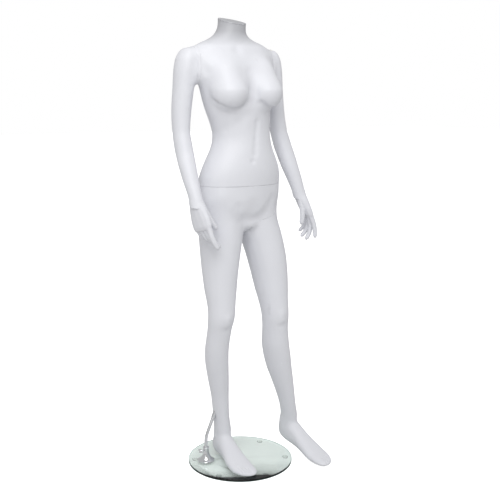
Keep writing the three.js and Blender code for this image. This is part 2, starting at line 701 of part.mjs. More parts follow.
function buildTorso() {
  const whole = shoulders.intersect(betweenShoulders).add(upperBody.intersect(belowArmpits));
  const shell = whole.intersect(belowNeck).subtract(bodyHollow).subtract(shoulderHollow);
  const pegRooms = arms.map(({ seam, outward }) => bar(
    seam.clone().addScaledVector(outward, 2), seam.clone().addScaledVector(outward, -30), PEG_RADIUS + 1));
  addPiece('torso_shell', biggest(shell.subtract(union(pegRooms))), WHITE);
  addPiece('torso_plate', frontPlate(plateRoom, WAIST, UP, WAIST, SPIGOT_RADIUS), PLATE_PLASTIC);
  const capTop = slab(upperBody, NECK, NECK_NORMAL, -NECK_CAP, 0);
  const capPlug = slab(plateRoom, NECK, NECK_NORMAL, -NECK_CAP - 12, -NECK_CAP / 2);
  addPiece('neck_cap', biggest(capTop.add(capPlug)), WHITE);
}

// ---- arms and hands ----
function buildArm(name, side) {
  const { seam, outward, wrist, forearm } = side;
  const at = (distance) => wrist.clone().addScaledVector(forearm, distance);
  const outside = halfSpace(seam.clone().addScaledVector(outward, SEAM / 2), outward);
  const aboveWrist = halfSpace(at(-SEAM / 2), forearm.clone().negate());
  const shoulderEnd = halfSpace(at(-WRIST_WALL), forearm.clone().negate());
  const whole = shoulders.intersect(outside).add(armOf(side, 0).intersect(belowArmpits));
  const inner = shoulderHollow.add(armOf(side, HOLLOW)).intersect(shoulderEnd);
  const bushHole = bar(at(-WRIST_WALL - 4), at(4), BUSH_RADIUS + GAP, 16);
  const shell = whole.intersect(aboveWrist).subtract(inner).subtract(bushHole);
  addPiece(`${name}_arm_shell`, biggest(shell), WHITE);

  const inside = outward.clone().negate();
  const shoulderPlate = frontPlate(shoulderRoom, seam, inside, seam, PEG_RADIUS);
  addPiece(`${name}_shoulder_plate`, shoulderPlate, PLATE_PLASTIC);
  addPiece(`${name}_arm_plate`, backPlate(shoulderRoom, seam, outward), PLATE_PLASTIC);
  const pegFoot = seam.clone().addScaledVector(outward, PLATE_BACK - GAP);
  addPiece(`${name}_arm_peg`, peg(pegFoot, inside, PEG_RADIUS, ARM_PEG_LENGTH), STEEL);
}

function buildWristAndHand(name, side) {
  const { wrist, forearm } = side;
  const at = (distance) => wrist.clone().addScaledVector(forearm, distance);
  const belowWrist = halfSpace(at(SEAM / 2), forearm);
  const bushBore = bar(at(-WRIST_WALL - 4), at(4), PIN_RADIUS + GAP, 12);
  const bush = bar(at(-WRIST_WALL - 2), at(-SEAM / 2), BUSH_RADIUS, 16).subtract(bushBore);
  addPiece(`${name}_wrist_bush`, bush, GREY_PLASTIC);
  const handHole = bar(at(-6), at(PIN_DEPTH + GAP), PIN_RADIUS + GAP, 12);
  const wristEnd = armOf(side, 0).intersect(halfSpace(at(-4), forearm));
  const solid = hand(side).add(wristEnd).intersect(belowWrist).subtract(handHole);
  addPiece(`${name}_hand`, biggest(solid), WHITE);
  addPiece(`${name}_wrist_pin`, bar(at(PIN_DEPTH - GAP), at(-WRIST_WALL + 1), PIN_RADIUS, 12), STEEL);
}

buildBase();
buildLowerBody();
buildLeftLeg();
buildTorso();
Object.entries(SIDES).forEach(([name, side]) => {
  buildArm(name, side);
  buildWristAndHand(name, side);
});

export default mannequin;
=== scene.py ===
"""Full body mannequin: white shells, chrome calf rod and round glass base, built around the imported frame."""
import math

import bpy
import numpy as np
from bpy.props import FloatProperty, FloatVectorProperty, PointerProperty
from bpy.types import Operator, Panel, PropertyGroup
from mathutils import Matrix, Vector
from mathutils.bvhtree import BVHTree


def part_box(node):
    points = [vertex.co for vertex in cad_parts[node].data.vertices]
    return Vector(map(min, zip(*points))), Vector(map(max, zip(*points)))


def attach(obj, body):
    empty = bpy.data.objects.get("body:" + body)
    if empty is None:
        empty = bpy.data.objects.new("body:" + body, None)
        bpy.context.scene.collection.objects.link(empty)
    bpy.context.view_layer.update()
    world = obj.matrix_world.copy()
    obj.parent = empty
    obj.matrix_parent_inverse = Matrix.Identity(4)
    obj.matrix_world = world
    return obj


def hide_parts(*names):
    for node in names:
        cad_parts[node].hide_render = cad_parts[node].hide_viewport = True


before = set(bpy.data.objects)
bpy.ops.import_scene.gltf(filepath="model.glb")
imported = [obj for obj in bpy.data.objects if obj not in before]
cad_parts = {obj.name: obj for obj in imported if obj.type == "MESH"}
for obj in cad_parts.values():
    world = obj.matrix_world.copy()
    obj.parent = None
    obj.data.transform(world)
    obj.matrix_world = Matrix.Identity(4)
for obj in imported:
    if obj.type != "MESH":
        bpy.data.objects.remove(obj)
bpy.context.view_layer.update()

MM = 0.001

bl_info = {
    "name": "Mannequin Builder",
    "version": (1, 0, 0),
    "blender": (4, 5, 0),
    "location": "View3D > Sidebar > Mannequin",
    "description": "Builds a headless display figure on a round glass base around its packed frame",
    "category": "Object",
}

# ---- places, in metres, from the frame and the seams of the moulded figure ----
UP = Vector((0, 0, 1))
ACROSS = Vector((1, 0, 0))
SEAM = 0.6 * MM  # gap between two shells
WRIST_SEAM = 0.2 * MM
WAIST = Vector((0, 0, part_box("torso_shell")[0].z - SEAM / 2))
RIGHT_SHOULDER = Vector((-0.162, 0, 0))
LEFT_SHOULDER = Vector((0.125, 0, 0))
ARMPIT = 1.374
NECK_NORMAL = Vector((0.06, -0.26, 1)).normalized()
NECK_TOP = Vector((-0.017, 0.018, 1.572))
NECK_CAP = 4 * MM
NECK_SEAM = NECK_TOP - NECK_NORMAL * (NECK_CAP + SEAM / 4)
CROTCH = Vector((0.010, 0.012, 0.889))
THIGH_NORMAL = Vector((-0.27, 0, 0.963)).normalized()
WRISTS = {
    "right": (Vector((-0.208, -0.0556, 0.984)), Vector((0.01, -0.36, -0.933)).normalized()),
    "left": (Vector((0.238, -0.024, 0.984)), Vector((0.208, -0.243, -0.948)).normalized()),
}
FLANGE = Vector((-0.121, 0.042, 0.013))
ROD_ENTRY = Vector((-0.088, 0.043, 0.176))
ROD_BEND = Vector((FLANGE.x, FLANGE.y, 0.104))
ROD_UP = (ROD_ENTRY - ROD_BEND).normalized()
ROD_RADIUS = 6 * MM
FERRULE_RADIUS = 7.4 * MM
RUNNING_FIT = 0.3 * MM  # what a bore is wider than its rod, all round
HARDWARE = ("glass_base", "bumper", "flange", "base_flange", "wing_screw", "support_rod")
WALL = 3.2 * MM
RIM = 1.5 * MM  # narrow border round a closed cut
TORSO_RECESS = 6.4 * MM  # how deep the plates sit in the torso
LIMB_RECESS = 11.4 * MM  # and in the parts that hang on it
HOLE_TOP = 0.08  # how far the bore for the rod runs up the calf
SAME_POINT = 0.01 * MM
SKIN_ALLOWANCE = 1 * MM  # added before smoothing takes about as much away
SEAM_PLANES = [
    (WAIST, UP),
    (RIGHT_SHOULDER, ACROSS),
    (LEFT_SHOULDER, ACROSS),
    (NECK_SEAM, NECK_NORMAL),
    (Vector((0, 0, ARMPIT)), UP),
    (CROTCH, THIGH_NORMAL),
    (CROTCH, ACROSS),
    WRISTS["right"],
    WRISTS["left"],
]


# ---- tools of the bench ----
def to_object_mode():
    if bpy.context.object and bpy.context.object.mode != "OBJECT":
        bpy.ops.object.mode_set(mode="OBJECT")


def deselect_all():
    to_object_mode()
    bpy.ops.object.select_all(action="DESELECT")


def activate(piece):
    deselect_all()
    piece.select_set(True)
    bpy.context.view_layer.objects.active = piece


def edit(piece, elements="VERT", everything=False):
    """Opens a piece in edit mode with nothing, or everything, selected."""
    activate(piece)
    bpy.ops.object.mode_set(mode="EDIT")
    bpy.ops.mesh.select_mode(type=elements)
    bpy.ops.mesh.select_all(action="SELECT" if everything else "DESELECT")


def points_of(piece):
    mesh = piece.data
    flat = np.empty(len(mesh.vertices) * 3)
    mesh.vertices.foreach_get("co", flat)
    return flat.reshape(-1, 3)


def select(piece, chosen, elements="vertices"):
    """Selects the vertices, edges or polygons of a boolean array, and leaves the piece open in edit mode."""
    edit(piece, {"vertices": "VERT", "edges": "EDGE", "polygons": "FACE"}[elements])
    to_object_mode()
    getattr(piece.data, elements).foreach_set("select", np.asarray(chosen, bool))
    bpy.ops.object.mode_set(mode="EDIT")


def distance_to(points, origin, normal):
    return (points - np.array(origin)) @ np.array(normal)


def apply_modifier(piece, kind, **settings):
    activate(piece)
    modifier = piece.modifiers.new(kind.lower(), kind)
    for key, value in settings.items():
        setattr(modifier, key, value)
    bpy.ops.object.modifier_apply(modifier=modifier.name)


def recalculate(piece):
    edit(piece, everything=True)
    bpy.ops.mesh.normals_make_consistent(inside=False)
    to_object_mode()


def smooth(piece, rounds, **settings):
    apply_modifier(piece, "SMOOTH", factor=0.5, iterations=rounds, **settings)


def merge_doubles(piece):
    edit(piece, everything=True)
    bpy.ops.mesh.remove_doubles(threshold=SAME_POINT)
    to_object_mode()


def extrude(move):
    bpy.ops.mesh.extrude_region_move(TRANSFORM_OT_translate={"value": move})


def shade(piece, angle):
    activate(piece)
    bpy.ops.object.shade_smooth_by_angle(angle=math.radians(angle))


def join(pieces):
    deselect_all()
    for piece in pieces:
        piece.select_set(True)
    bpy.context.view_layer.objects.active = pieces[0]
    bpy.ops.object.join()
    return bpy.context.view_layer.objects.active


def loose_parts(piece):
    edit(piece, everything=True)
    bpy.ops.mesh.separate(type="LOOSE")
    to_object_mode()
    return list(bpy.context.selected_objects)


def largest_part(piece):
    parts = loose_parts(piece)
    keep = max(parts, key=lambda part: part.dimensions.length)
    for part in parts:
        if part is not keep:
            bpy.data.objects.remove(part)
    return keep


def fused(pieces, voxel, rounds):
    """Joins overlapping pieces into one closed skin and smooths it."""
    piece = join(pieces)
    piece.data.remesh_voxel_size = voxel
    bpy.ops.object.voxel_remesh()
    piece = largest_part(piece)
    smooth(piece, rounds)
    return piece


def bar(start, end, radius, sides):
    """A plain round bar between two points."""
    axis = end - start
    deselect_all()
    bpy.ops.mesh.primitive_cylinder_add(vertices=sides, radius=radius, depth=axis.length,
                                        location=(start + end) / 2,
                                        rotation=axis.to_track_quat("Z", "Y").to_euler())
    bpy.ops.object.transform_apply(location=True, rotation=True)
    return bpy.context.object


def border_edges(piece):
    """How many open edges meet at each vertex."""
    uses = {}
    for face in piece.data.polygons:
        for key in face.edge_keys:
            uses[key] = uses.get(key, 0) + 1
    meeting = np.zeros(len(piece.data.vertices), int)
    for key, count in uses.items():
        if count == 1:
            meeting[list(key)] += 1
    return meeting


def copy_of_node(node):
    """A merged copy of a CAD node's mesh, to work on."""
    piece = bpy.data.objects.new("work_" + node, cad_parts[node].data.copy())
    bpy.context.scene.collection.objects.link(piece)
    merge_doubles(piece)
    return piece


def face_all(piece, test):
    """One flag for each face: whether test holds for all its corners."""
    good = test(points_of(piece))
    return [all(good[i] for i in face.vertices) for face in piece.data.polygons]


# ---- the outer skin of a hollow CAD shell ----
SKY_RAYS = 120
RAYS_TO_BE_OUTSIDE = 3


def sky_directions():
    """Directions spread evenly over a sphere, on a spiral."""
    golden = math.pi * (3 - math.sqrt(5))
    spread = []
    for step in range(SKY_RAYS):
        height = 1 - 2 * (step + 0.5) / SKY_RAYS
        ring = math.sqrt(1 - height * height)
        spread.append(Vector((ring * math.cos(golden * step), ring * math.sin(golden * step), height)))
    return spread


SKY = sky_directions()


def whole_figure_tree():
    """A search tree over every CAD solid of the figure, which tells the outside from the hollows."""
    corners, faces = [], []
    for name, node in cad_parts.items():
        if name.startswith(HARDWARE):
            continue
        start = len(corners)
        corners += [corner.co.copy() for corner in node.data.vertices]
        faces += [[start + index for index in face.vertices] for face in node.data.polygons]
    return BVHTree.FromPolygons(corners, faces)


def sees_sky(tree, face):
    """Whether enough rays from the face's middle leave the figure without meeting it."""
    start = face.center + face.normal * 0.05 * MM
    free = 0
    for direction in SKY:
        if direction.dot(face.normal) > 0.08 and tree.ray_cast(start, direction)[0] is None:
            free += 1
            if free == RAYS_TO_BE_OUTSIDE:
                return True
    return False


def outer_skin(node, tree):
    """The outer skin of one shell, closed where its seams were."""
    piece = copy_of_node(node)
    flags = np.array([not sees_sky(tree, face) for face in piece.data.polygons])
    for origin, normal in SEAM_PLANES:
        flags |= face_all(piece, lambda co: np.abs(distance_to(co, origin, normal)) < SEAM)
    select(piece, flags, "polygons")
    bpy.ops.mesh.delete(type="FACE")
    piece = largest_part(piece)
    select(piece, border_edges(piece) > 2)  # a hole can't be filled where two borders touch
    bpy.ops.mesh.edge_split(type="VERT")
    to_object_mode()
    piece = largest_part(piece)
    edit(piece, everything=True)
    bpy.ops.mesh.fill_holes(sides=0)
    bpy.ops.mesh.select_all(action="DESELECT")
    bpy.ops.mesh.select_non_manifold(extend=False, use_wire=False, use_multi_face=False,
                                     use_non_contiguous=False, use_verts=False)
    piece.update_from_editmode()
    if any(edge.select for edge in piece.data.edges):
        bpy.ops.mesh.fill(use_beauty=True)
    bpy.ops.mesh.select_all(action="SELECT")
    bpy.ops.mesh.quads_convert_to_tris()
    bpy.ops.mesh.normals_make_consistent(inside=False)
    bpy.ops.transform.shrink_fatten(value=SKIN_ALLOWANCE, use_even_offset=False)
    to_object_mode()
    return piece


# ---- the body: one smooth skin, cut at the seams ----
BODY_VOXEL = 4.2 * MM
BODY_SMOOTHING = 44
NECK_OVERRUN = 0.03  # how far the neck is drawn up past its cut
SHELLS = ("torso_shell", "lower_body_shell", "left_leg_shell", "right_arm_shell", "left_arm_shell")
FILLERS = (  # place and radii of the lumps that fill the creases where limbs join
    ((-0.170, 0.027, 1.430), (0.040, 0.040, 0.045)),
    ((-0.150, 0.016, 1.415), (0.030, 0.050, 0.050)),
    ((0.134, 0.027, 1.432), (0.038, 0.039, 0.043)),
    ((0.112, 0.016, 1.415), (0.030, 0.050, 0.050)),
    ((-0.162, 0.024, 1.448), (0.034, 0.042, 0.040)),
    ((-0.164, 0.020, 1.400), (0.020, 0.034, 0.040)),
    ((0.010, 0.014, 0.905), (0.075, 0.072, 0.026)),
    ((0.010, -0.020, 0.893), (0.050, 0.052, 0.030)),
    ((0.114, -0.055, 0.560), (0.042, 0.048, 0.080)),
    ((-0.080, -0.052, 1.345), (0.063, 0.066, 0.066)),
    ((0.066, -0.051, 1.345), (0.060, 0.066, 0.066)),
    ((-0.081, -0.030, 1.392), (0.062, 0.058, 0.062)),
    ((0.062, -0.030, 1.392), (0.058, 0.058, 0.062)),
)


def filler(place, radii):
    deselect_all()
    bpy.ops.mesh.primitive_uv_sphere_add(segments=24, ring_count=16, radius=1, location=place)
    bpy.ops.transform.resize(value=radii)
    bpy.ops.object.transform_apply(location=True, rotation=True, scale=True)
    return bpy.context.object


def whole_skin(tree):
    """Every shell, hand and the neck cap fused into one closed smooth skin."""
    skins = [outer_skin(node, tree) for node in SHELLS + ("right_hand", "left_hand")]
    skins.append(longer_neck())
    skins += [filler(place, radii) for place, radii in FILLERS]
    return fused(skins, BODY_VOXEL, BODY_SMOOTHING)


def longer_neck():
    """The neck cap drawn up past its cut, so that smoothing leaves the cut's edge alone."""
    cap = copy_of_node("neck_cap")
    top = distance_to(points_of(cap), NECK_TOP, NECK_NORMAL) > -0.2 * MM
    select(cap, top)
    bpy.ops.mesh.select_mode(type="FACE")
    extrude(NECK_NORMAL * NECK_OVERRUN)
    recalculate(cap)
    return cap


def along(path, step=4 * MM):
    """Points a few millimetres apart on a smooth line through the given ones."""
    corners = [Vector(point) * MM for point in path]
    if len(corners) == 1:
        return corners
    spots = []
    for index in range(len(corners) - 1):
        before = corners[max(index - 1, 0)]
        start, end = corners[index], corners[index + 1]
        after = corners[min(index + 2, len(corners) - 1)]
        count = max(2, math.ceil((end - start).length / step))
        for part in range(count):
            t = part / count
            curve = (2 * before - 5 * start + 4 * end - after) * t ** 2
            twist = (3 * start - before - 3 * end + after) * t ** 3
            spots.append(0.5 * (2 * start + (end - before) * t + curve + twist))
    spots.append(corners[-1])
    return spots


def press(body, path, depth, reach):
    """Pushes the skin in along its own normals, or out where depth is negative, on and beside a line."""
    points = points_of(body)
    chosen = np.zeros(len(points), bool)
    for spot in along(path):
        chosen[((points - np.array(spot)) ** 2).sum(1).argmin()] = True
    select(body, chosen)
    bpy.ops.transform.shrink_fatten(value=-depth * MM, use_proportional_edit=True,
                                    proportional_edit_falloff="SMOOTH", proportional_size=reach * MM)
    to_object_mode()


def soften(body, inside, rounds):
    """Smooths only the skin where inside holds for a point, blended out at its edge."""
    weights = inside(points_of(body))
    group = body.vertex_groups.new(name="soft")
    for level in range(1, 11):
        at_level = np.nonzero(np.clip(np.round(weights * 10), 0, 10) == level)[0]
        if len(at_level):
            group.add(at_level.tolist(), level / 10, "REPLACE")
    smooth(body, rounds, vertex_group="soft")
    body.vertex_groups.clear()


def band(values, low, high, fade):
    """1 between low and high, falling to 0 over fade on each side."""
    return np.clip((values - low) / fade + 1, 0, 1) * np.clip((high - values) / fade + 1, 0, 1)


# ---- modelling of the figure: each path, its depth and its reach in millimetres ----
def model_chest(body):
    soften(body, lambda co: band(co[:, 2], 1.372, 1.455, 0.030) * band(co[:, 1], -0.2, -0.02, 0.02)
           * band(co[:, 0], -0.135, 0.105, 0.02), 260)
    for seam in (RIGHT_SHOULDER.x, LEFT_SHOULDER.x):  # fill the shoulder seams
        soften(body, lambda co: band(co[:, 0], seam - 0.012, seam + 0.012, 0.016)
               * band(co[:, 2], 1.385, 1.5, 0.02), 200)
    press(body, [(-36, -36, 1467)], 4, 30)  # hollow of the throat
    press(body, [(-52, -30, 1478), (-90, -26, 1478), (-122, -14, 1480)], -2.4, 24)  # right collar bone
    press(body, [(-20, -32, 1474), (24, -28, 1472), (66, -14, 1474)], -2.4, 24)  # left collar bone
    press(body, [(-138, -48, 1306), (-118, -82, 1280), (-90, -92, 1269),  # under the breasts
                 (-58, -96, 1274), (-26, -92, 1298)], 5, 15)
    press(body, [(30, -90, 1302), (52, -92, 1280), (80, -84, 1276), (106, -60, 1294)], 6, 15)
    press(body, [(-6, -72, 1400), (-2, -80, 1350), (2, -84, 1310)], 4, 28)  # between them
    press(body, [(-168, -16, 1432), (-164, -32, 1416), (-160, -46, 1398)], 3, 24)  # right armpit
    press(body, [(112, -20, 1436), (118, -30, 1418), (122, -40, 1398)], 3, 24)  # left armpit


def model_belly(body):
    press(body, [(18, -82, 1236), (16, -84, 1205), (10, -88, 1165), (4, -92, 1130)], 3.8, 16)  # middle line
    press(body, [(-26, -84, 1232), (-30, -86, 1190), (-34, -92, 1140)], -1.6, 30)  # beside it
    press(body, [(-6, -93, 1108)], 5, 12)  # navel
    press(body, [(-20, -82, 1262), (-52, -74, 1236), (-86, -54, 1216)], 1.6, 26)  # under the ribs
    press(body, [(40, -80, 1262), (70, -66, 1236), (92, -46, 1218)], 1.6, 26)
    for place in ((-112, -70, 988), (108, -68, 990)):  # hip bones
        press(body, [place], -2.5, 46)


def model_groin(body):
    soften(body, lambda co: band(co[:, 2], 0.890, 0.950, 0.030)
           * band(np.abs(co[:, 0]), 0.115, 0.175, 0.02), 260)
    press(body, [(-58, -92, 950), (-50, -90, 925), (-36, -82, 898)], 4, 26)  # beside the right thigh
    press(body, [(96, -82, 975), (70, -88, 945), (44, -88, 918), (16, -80, 896)], 3, 26)  # beside the left
    press(body, [(0, -92, 940), (-2, -88, 915)], 5, 50)  # the flat between them


def model_back(body):
    press(body, [(-24, 88, 1440), (-16, 96, 1360), (-6, 92, 1280), (2, 78, 1200),  # spine
                 (2, 86, 1110), (0, 92, 1070)], 3.5, 34)
    press(body, [(-92, 92, 1420), (-96, 96, 1380), (-84, 98, 1340)], -3, 46)  # shoulder blades
    press(body, [(56, 92, 1422), (62, 94, 1382), (52, 96, 1342)], -3, 46)
    press(body, [(-2, 104, 1005), (-2, 112, 970), (0, 116, 935), (4, 100, 900)], 7, 26)  # buttocks
    press(body, [(-118, 78, 888), (-86, 104, 878), (-42, 100, 880)], 4, 26)  # under them
    press(body, [(120, 78, 890), (90, 104, 880), (48, 100, 882)], 4, 26)


def model_knees(body):
    soften(body, lambda co: band(co[:, 2], 0.555, 0.620, 0.02) * band(co[:, 0], 0.03, 0.2, 0.02), 90)
    for x, y, z in ((-98, -74, 556), (110, -112, 550)):
        press(body, [(x, y, z + 10), (x, y, z - 6)], -3.6, 24)  # kneecap
        press(body, [(x, y + 6, z - 34)], 1.8, 20)
        press(body, [(x - 18, y + 112, z - 4), (x + 18, y + 112, z - 4)], 2.5, 30)  # hollow of the knee


def model_joints(body):
    for place in ((-76, 58, 92), (-16, 50, 98), (180, 4, 126), (240, 0, 120)):  # ankle bones
        press(body, [place], -3.0, 20)
    for place in ((-206, 76, 1212), (194, 74, 1208)):  # elbows
        press(body, [place], -2, 26)


def sculpt(body):
    for step in (model_chest, model_belly, model_groin, model_back, model_knees, model_joints):
        step(body)
    smooth(body, 6)


def copied(piece):
    activate(piece)
    bpy.ops.object.duplicate()
    return bpy.context.object


# ---- cutting the skin at the seams ----
def near_wrist(hand):
    return lambda co: (co - WRISTS[hand][0]).length < 0.06


CUTS = (  # a plane, and which points on it are part of the seam
    (WAIST, UP, lambda co: -0.175 < co.x < 0.175),
    (RIGHT_SHOULDER, ACROSS, lambda co: co.z > ARMPIT - 0.06 and co.y > -0.04),
    (LEFT_SHOULDER, ACROSS, lambda co: co.z > ARMPIT - 0.06 and co.y > -0.04),
    (*WRISTS["right"], near_wrist("right")),
    (*WRISTS["left"], near_wrist("left")),
    (CROTCH, ACROSS, lambda co: 0.5 < co.z < CROTCH.z + SAME_POINT),
    (CROTCH, THIGH_NORMAL, lambda co: CROTCH.x - SAME_POINT < co.x < 0.178),
    (NECK_SEAM, NECK_NORMAL, lambda co: co.z > 1.5),
    (NECK_TOP, NECK_NORMAL, lambda co: co.z > 1.5),
)
CUT_LIMIT = 0.001 * MM  # how near a cut a vertex is taken to lie on it
ON_CUT = 0.004 * MM


def cut_body(body):
    """Cuts the skin along every seam and sorts the parts by name."""
    for origin, normal, _ in CUTS:
        edit(body, everything=True)
        bpy.ops.mesh.bisect(plane_co=origin, plane_no=normal, threshold=CUT_LIMIT)
    to_object_mode()
    points = points_of(body)
    split = np.zeros(len(body.data.edges), bool)
    ends = np.empty(len(body.data.edges) * 2, int)
    body.data.edges.foreach_get("vertices", ends)
    ends = ends.reshape(-1, 2)
    for origin, normal, belongs in CUTS:
        kept = np.abs(distance_to(points, origin, normal)) < ON_CUT
        for index in np.nonzero(kept)[0]:
            kept[index] = belongs(Vector(points[index]))
        split |= kept[ends[:, 0]] & kept[ends[:, 1]]
    select(body, split, "edges")
    bpy.ops.mesh.edge_split(type="EDGE")
    to_object_mode()
    parts = loose_parts(body)
    places = {
        "torso": (-0.02, -0.1, 1.2),
        "neck": NECK_SEAM + NECK_NORMAL * 2 * MM + Vector((0.049, 0, 0)),
        "lower_body": (-0.1, -0.03, 0.5),
        "left_leg": (0.115, -0.1, 0.5),
        "right_arm": (-0.235, 0.03, 1.2),
        "left_arm": (0.215, 0.03, 1.2),
    }
    named = {name: part_holding(parts, place) for name, place in places.items()}
    for part in parts:
        if part not in named.values():
            bpy.data.objects.remove(part)
    return named


def part_holding(parts, place):
    """The part with the vertex nearest to a place, in metres."""
    return min(parts, key=lambda part: ((points_of(part) - np.array(place)) ** 2).sum(1).min())


def close_end(piece, origin, outward, recess=None, gap=SEAM):
    """Draws a cut back by half its gap and closes it flat, with a recess for its plate or a narrow border."""
    on_plane = np.abs(distance_to(points_of(piece), origin, outward)) < SAME_POINT
    select(piece, on_plane & (border_edges(piece) > 0))
    bpy.ops.transform.translate(value=-outward * gap / 2)
    bpy.ops.mesh.edge_face_add()
    bpy.ops.mesh.normals_make_consistent(inside=False)
    bpy.ops.mesh.select_mode(type="FACE")
    bpy.ops.mesh.inset(thickness=WALL if recess else RIM)
    if recess:
        extrude(-outward * recess)
    to_object_mode()


def close_thigh(part, outward):
    """Draws back and closes the thigh seam together with the short upright seam at the crotch."""
    select(part, border_edges(part) > 0)
    bpy.ops.transform.translate(value=-outward * SEAM / 2)
    bpy.ops.mesh.edge_face_add()
    bpy.ops.mesh.quads_convert_to_tris()
    recalculate(part)


def round_edges(piece, width, angle=50, segments=2):
    apply_modifier(piece, "BEVEL", width=width, segments=segments, limit_method="ANGLE",
                   angle_limit=math.radians(angle))


def place_in_set(piece, name, body, slot, finishes, *nodes):
    """Names a finished piece, says what it rides on, hides the CAD nodes it stands for, and gives it its
    finishes.
    """
    piece.name = name
    piece.data.name = name
    for owner in piece.users_collection:
        owner.objects.unlink(piece)
    bpy.context.scene.collection.objects.link(piece)
    piece.data.materials.clear()
    for name_of_finish in finishes.split():
        piece.data.materials.append(finish(name_of_finish))
    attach(piece, body)
    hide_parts(*nodes)


# ---- hands, finer than the body ----
HAND_VOXEL = 1.5 * MM
HAND_SMOOTHING = 16
SLICE = (-0.05, 0.008)  # from up the forearm to just past the wrist
BLEND = (0.007, 0.018)  # where the hand is smoothed again, past the end of the slice


def wrist_slice(body, side):
    """The body's skin for a short way on both sides of a wrist."""
    wrist, forearm = WRISTS[side]
    piece = copied(body)
    above, below = wrist + forearm * SLICE[0], wrist + forearm * SLICE[1]
    edit(piece, everything=True)
    bpy.ops.mesh.bisect(plane_co=above, plane_no=forearm, clear_inner=True, use_fill=True)
    bpy.ops.mesh.select_all(action="SELECT")
    bpy.ops.mesh.bisect(plane_co=below, plane_no=forearm, clear_outer=True, use_fill=True)
    to_object_mode()
    parts = loose_parts(piece)
    parts.sort(key=lambda part: (Vector(points_of(part).mean(axis=0)) - wrist).length)
    for other in parts[1:]:
        bpy.data.objects.remove(other)
    return parts[0]


def fine_hand(body, side, tree):
    """A hand smoothed together with the end of its forearm, so that the two meet at the seam."""
    wrist, forearm = WRISTS[side]
    hand = fused([outer_skin(f"{side}_hand", tree), wrist_slice(body, side)], HAND_VOXEL, HAND_SMOOTHING)
    soften(hand, lambda co: band(distance_to(co, wrist, forearm), *BLEND, 0.007), 120)
    edit(hand, everything=True)
    bpy.ops.mesh.bisect(plane_co=wrist, plane_no=forearm, clear_inner=True, threshold=CUT_LIMIT)
    to_object_mode()
    hand = largest_part(hand)
    close_end(hand, wrist, -forearm, gap=WRIST_SEAM)
    return hand


# ---- feet ----
FEET = {  # heel, heading in degrees, and the side of the big toe
    "right": (Vector((-0.040, 0.100, 0.013)), -6, 1),
    "left": (Vector((0.208, 0.032, 0.0015)), 7, -1),
}


FOOT_HEIGHT = 0.09
GROOVES = ((0.66, 1), (0.50, 4), (0.345, 9), (0.20, 15))  # share of the width, and mm back from the tip


def model_toes(piece, side):
    """Presses the four grooves between the toes into the front of a foot."""
    heel, heading, inner = FEET[side]
    ahead = Vector((math.sin(math.radians(heading)), -math.cos(math.radians(heading)), 0))
    across = Vector((-ahead.y, ahead.x, 0)) * inner
    points = points_of(piece)
    forward = distance_to(points, heel, ahead)
    low = points[:, 2] < FOOT_HEIGHT
    reach = forward[low].max()
    select(piece, low & (forward > reach - 0.075))
    bpy.ops.mesh.subdivide(number_cuts=1, smoothness=0.6)
    to_object_mode()
    points = points_of(piece)
    forward = distance_to(points, heel, ahead)
    sideways = distance_to(points, heel, across)
    zone = (points[:, 2] < FOOT_HEIGHT) & (forward > reach - 0.06)
    narrow = sideways[zone].min()
    span = sideways[zone].max() - narrow
    for share, back in GROOVES:
        beside = np.abs(sideways - (narrow + span * share)) < 3 * MM
        line = []
        for distance in (26, 18, 10, 4, 1):
            near = zone & beside & (np.abs(forward - (reach - (distance + back) * MM)) < 3 * MM)
            if near.any():
                top = points[near][points[near][:, 2].argmax()]
                line.append(tuple(top / MM))
        if len(line) > 1:
            press(piece, line, 2.6, 6.5)


# ---- hardware ----
def turned(centre, profile, sides=64):
    """A round piece about an upright axis: a circle drawn up and resized through radii and heights."""
    radius, height = profile[0]
    piece = round_face((centre.x, centre.y, height), radius, sides)
    for next_radius, next_height in profile[1:]:
        extrude((0, 0, next_height - height))
        ratio = next_radius / radius
        bpy.ops.transform.resize(value=(ratio, ratio, 1), center_override=(centre.x, centre.y, next_height))
        radius, height = next_radius, next_height
    to_object_mode()
    recalculate(piece)
    return piece


def round_face(at, radius, sides):
    """A flat disc to extrude, open in edit mode."""
    deselect_all()
    bpy.ops.mesh.primitive_circle_add(vertices=sides, radius=radius, fill_type="NGON", location=at)
    face = bpy.context.object
    bpy.ops.object.transform_apply(location=True)
    edit(face, "FACE", everything=True)
    return face


def bored(piece, start, end, radius, sides=48):
    """Cuts a round hole from start to end."""
    drill = bar(start, end, radius, sides)
    apply_modifier(piece, "BOOLEAN", operation="DIFFERENCE", object=drill, solver="EXACT")
    bpy.data.objects.remove(drill)


GLASS_EDGE = 0.188  # faces further out than this belong to the polished edge
BOLT_HOLE = 6 * MM


def glass_disc():
    low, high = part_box("glass_base")
    deselect_all()
    bpy.ops.mesh.primitive_cylinder_add(vertices=192, radius=(high.x - low.x) / 2, depth=high.z - low.z,
                                        location=(0, 0, (low.z + high.z) / 2))
    disc = bpy.context.object
    bpy.ops.object.transform_apply(location=True)
    bored(disc, Vector((FLANGE.x, FLANGE.y, -0.01)), Vector((FLANGE.x, FLANGE.y, 0.03)), BOLT_HOLE)
    round_edges(disc, 1.1 * MM, segments=6)
    shade(disc, 14)
    return disc


def bumper(node):
    low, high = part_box(node)
    centre = (low + high) / 2
    radius = (high.x - low.x) / 2
    profile = [(0.2 * radius, low.z + 0.5 * MM), (0.35 * radius, low.z + 0.1 * MM), (0.7 * radius, low.z),
               (0.86 * radius, low.z + 0.4 * MM), (0.95 * radius, low.z + 1.4 * MM),
               (0.995 * radius, high.z - 0.3 * MM), (0.97 * radius, high.z)]
    piece = turned(centre, profile, sides=40)
    shade(piece, 40)
    return piece


SCREW_AT = Vector((FLANGE.x, FLANGE.y, 0.052))
SCREW_OUT = Vector((-0.934, 0.356, 0)).normalized()
ROD_FOOT = FLANGE + UP * 16 * MM


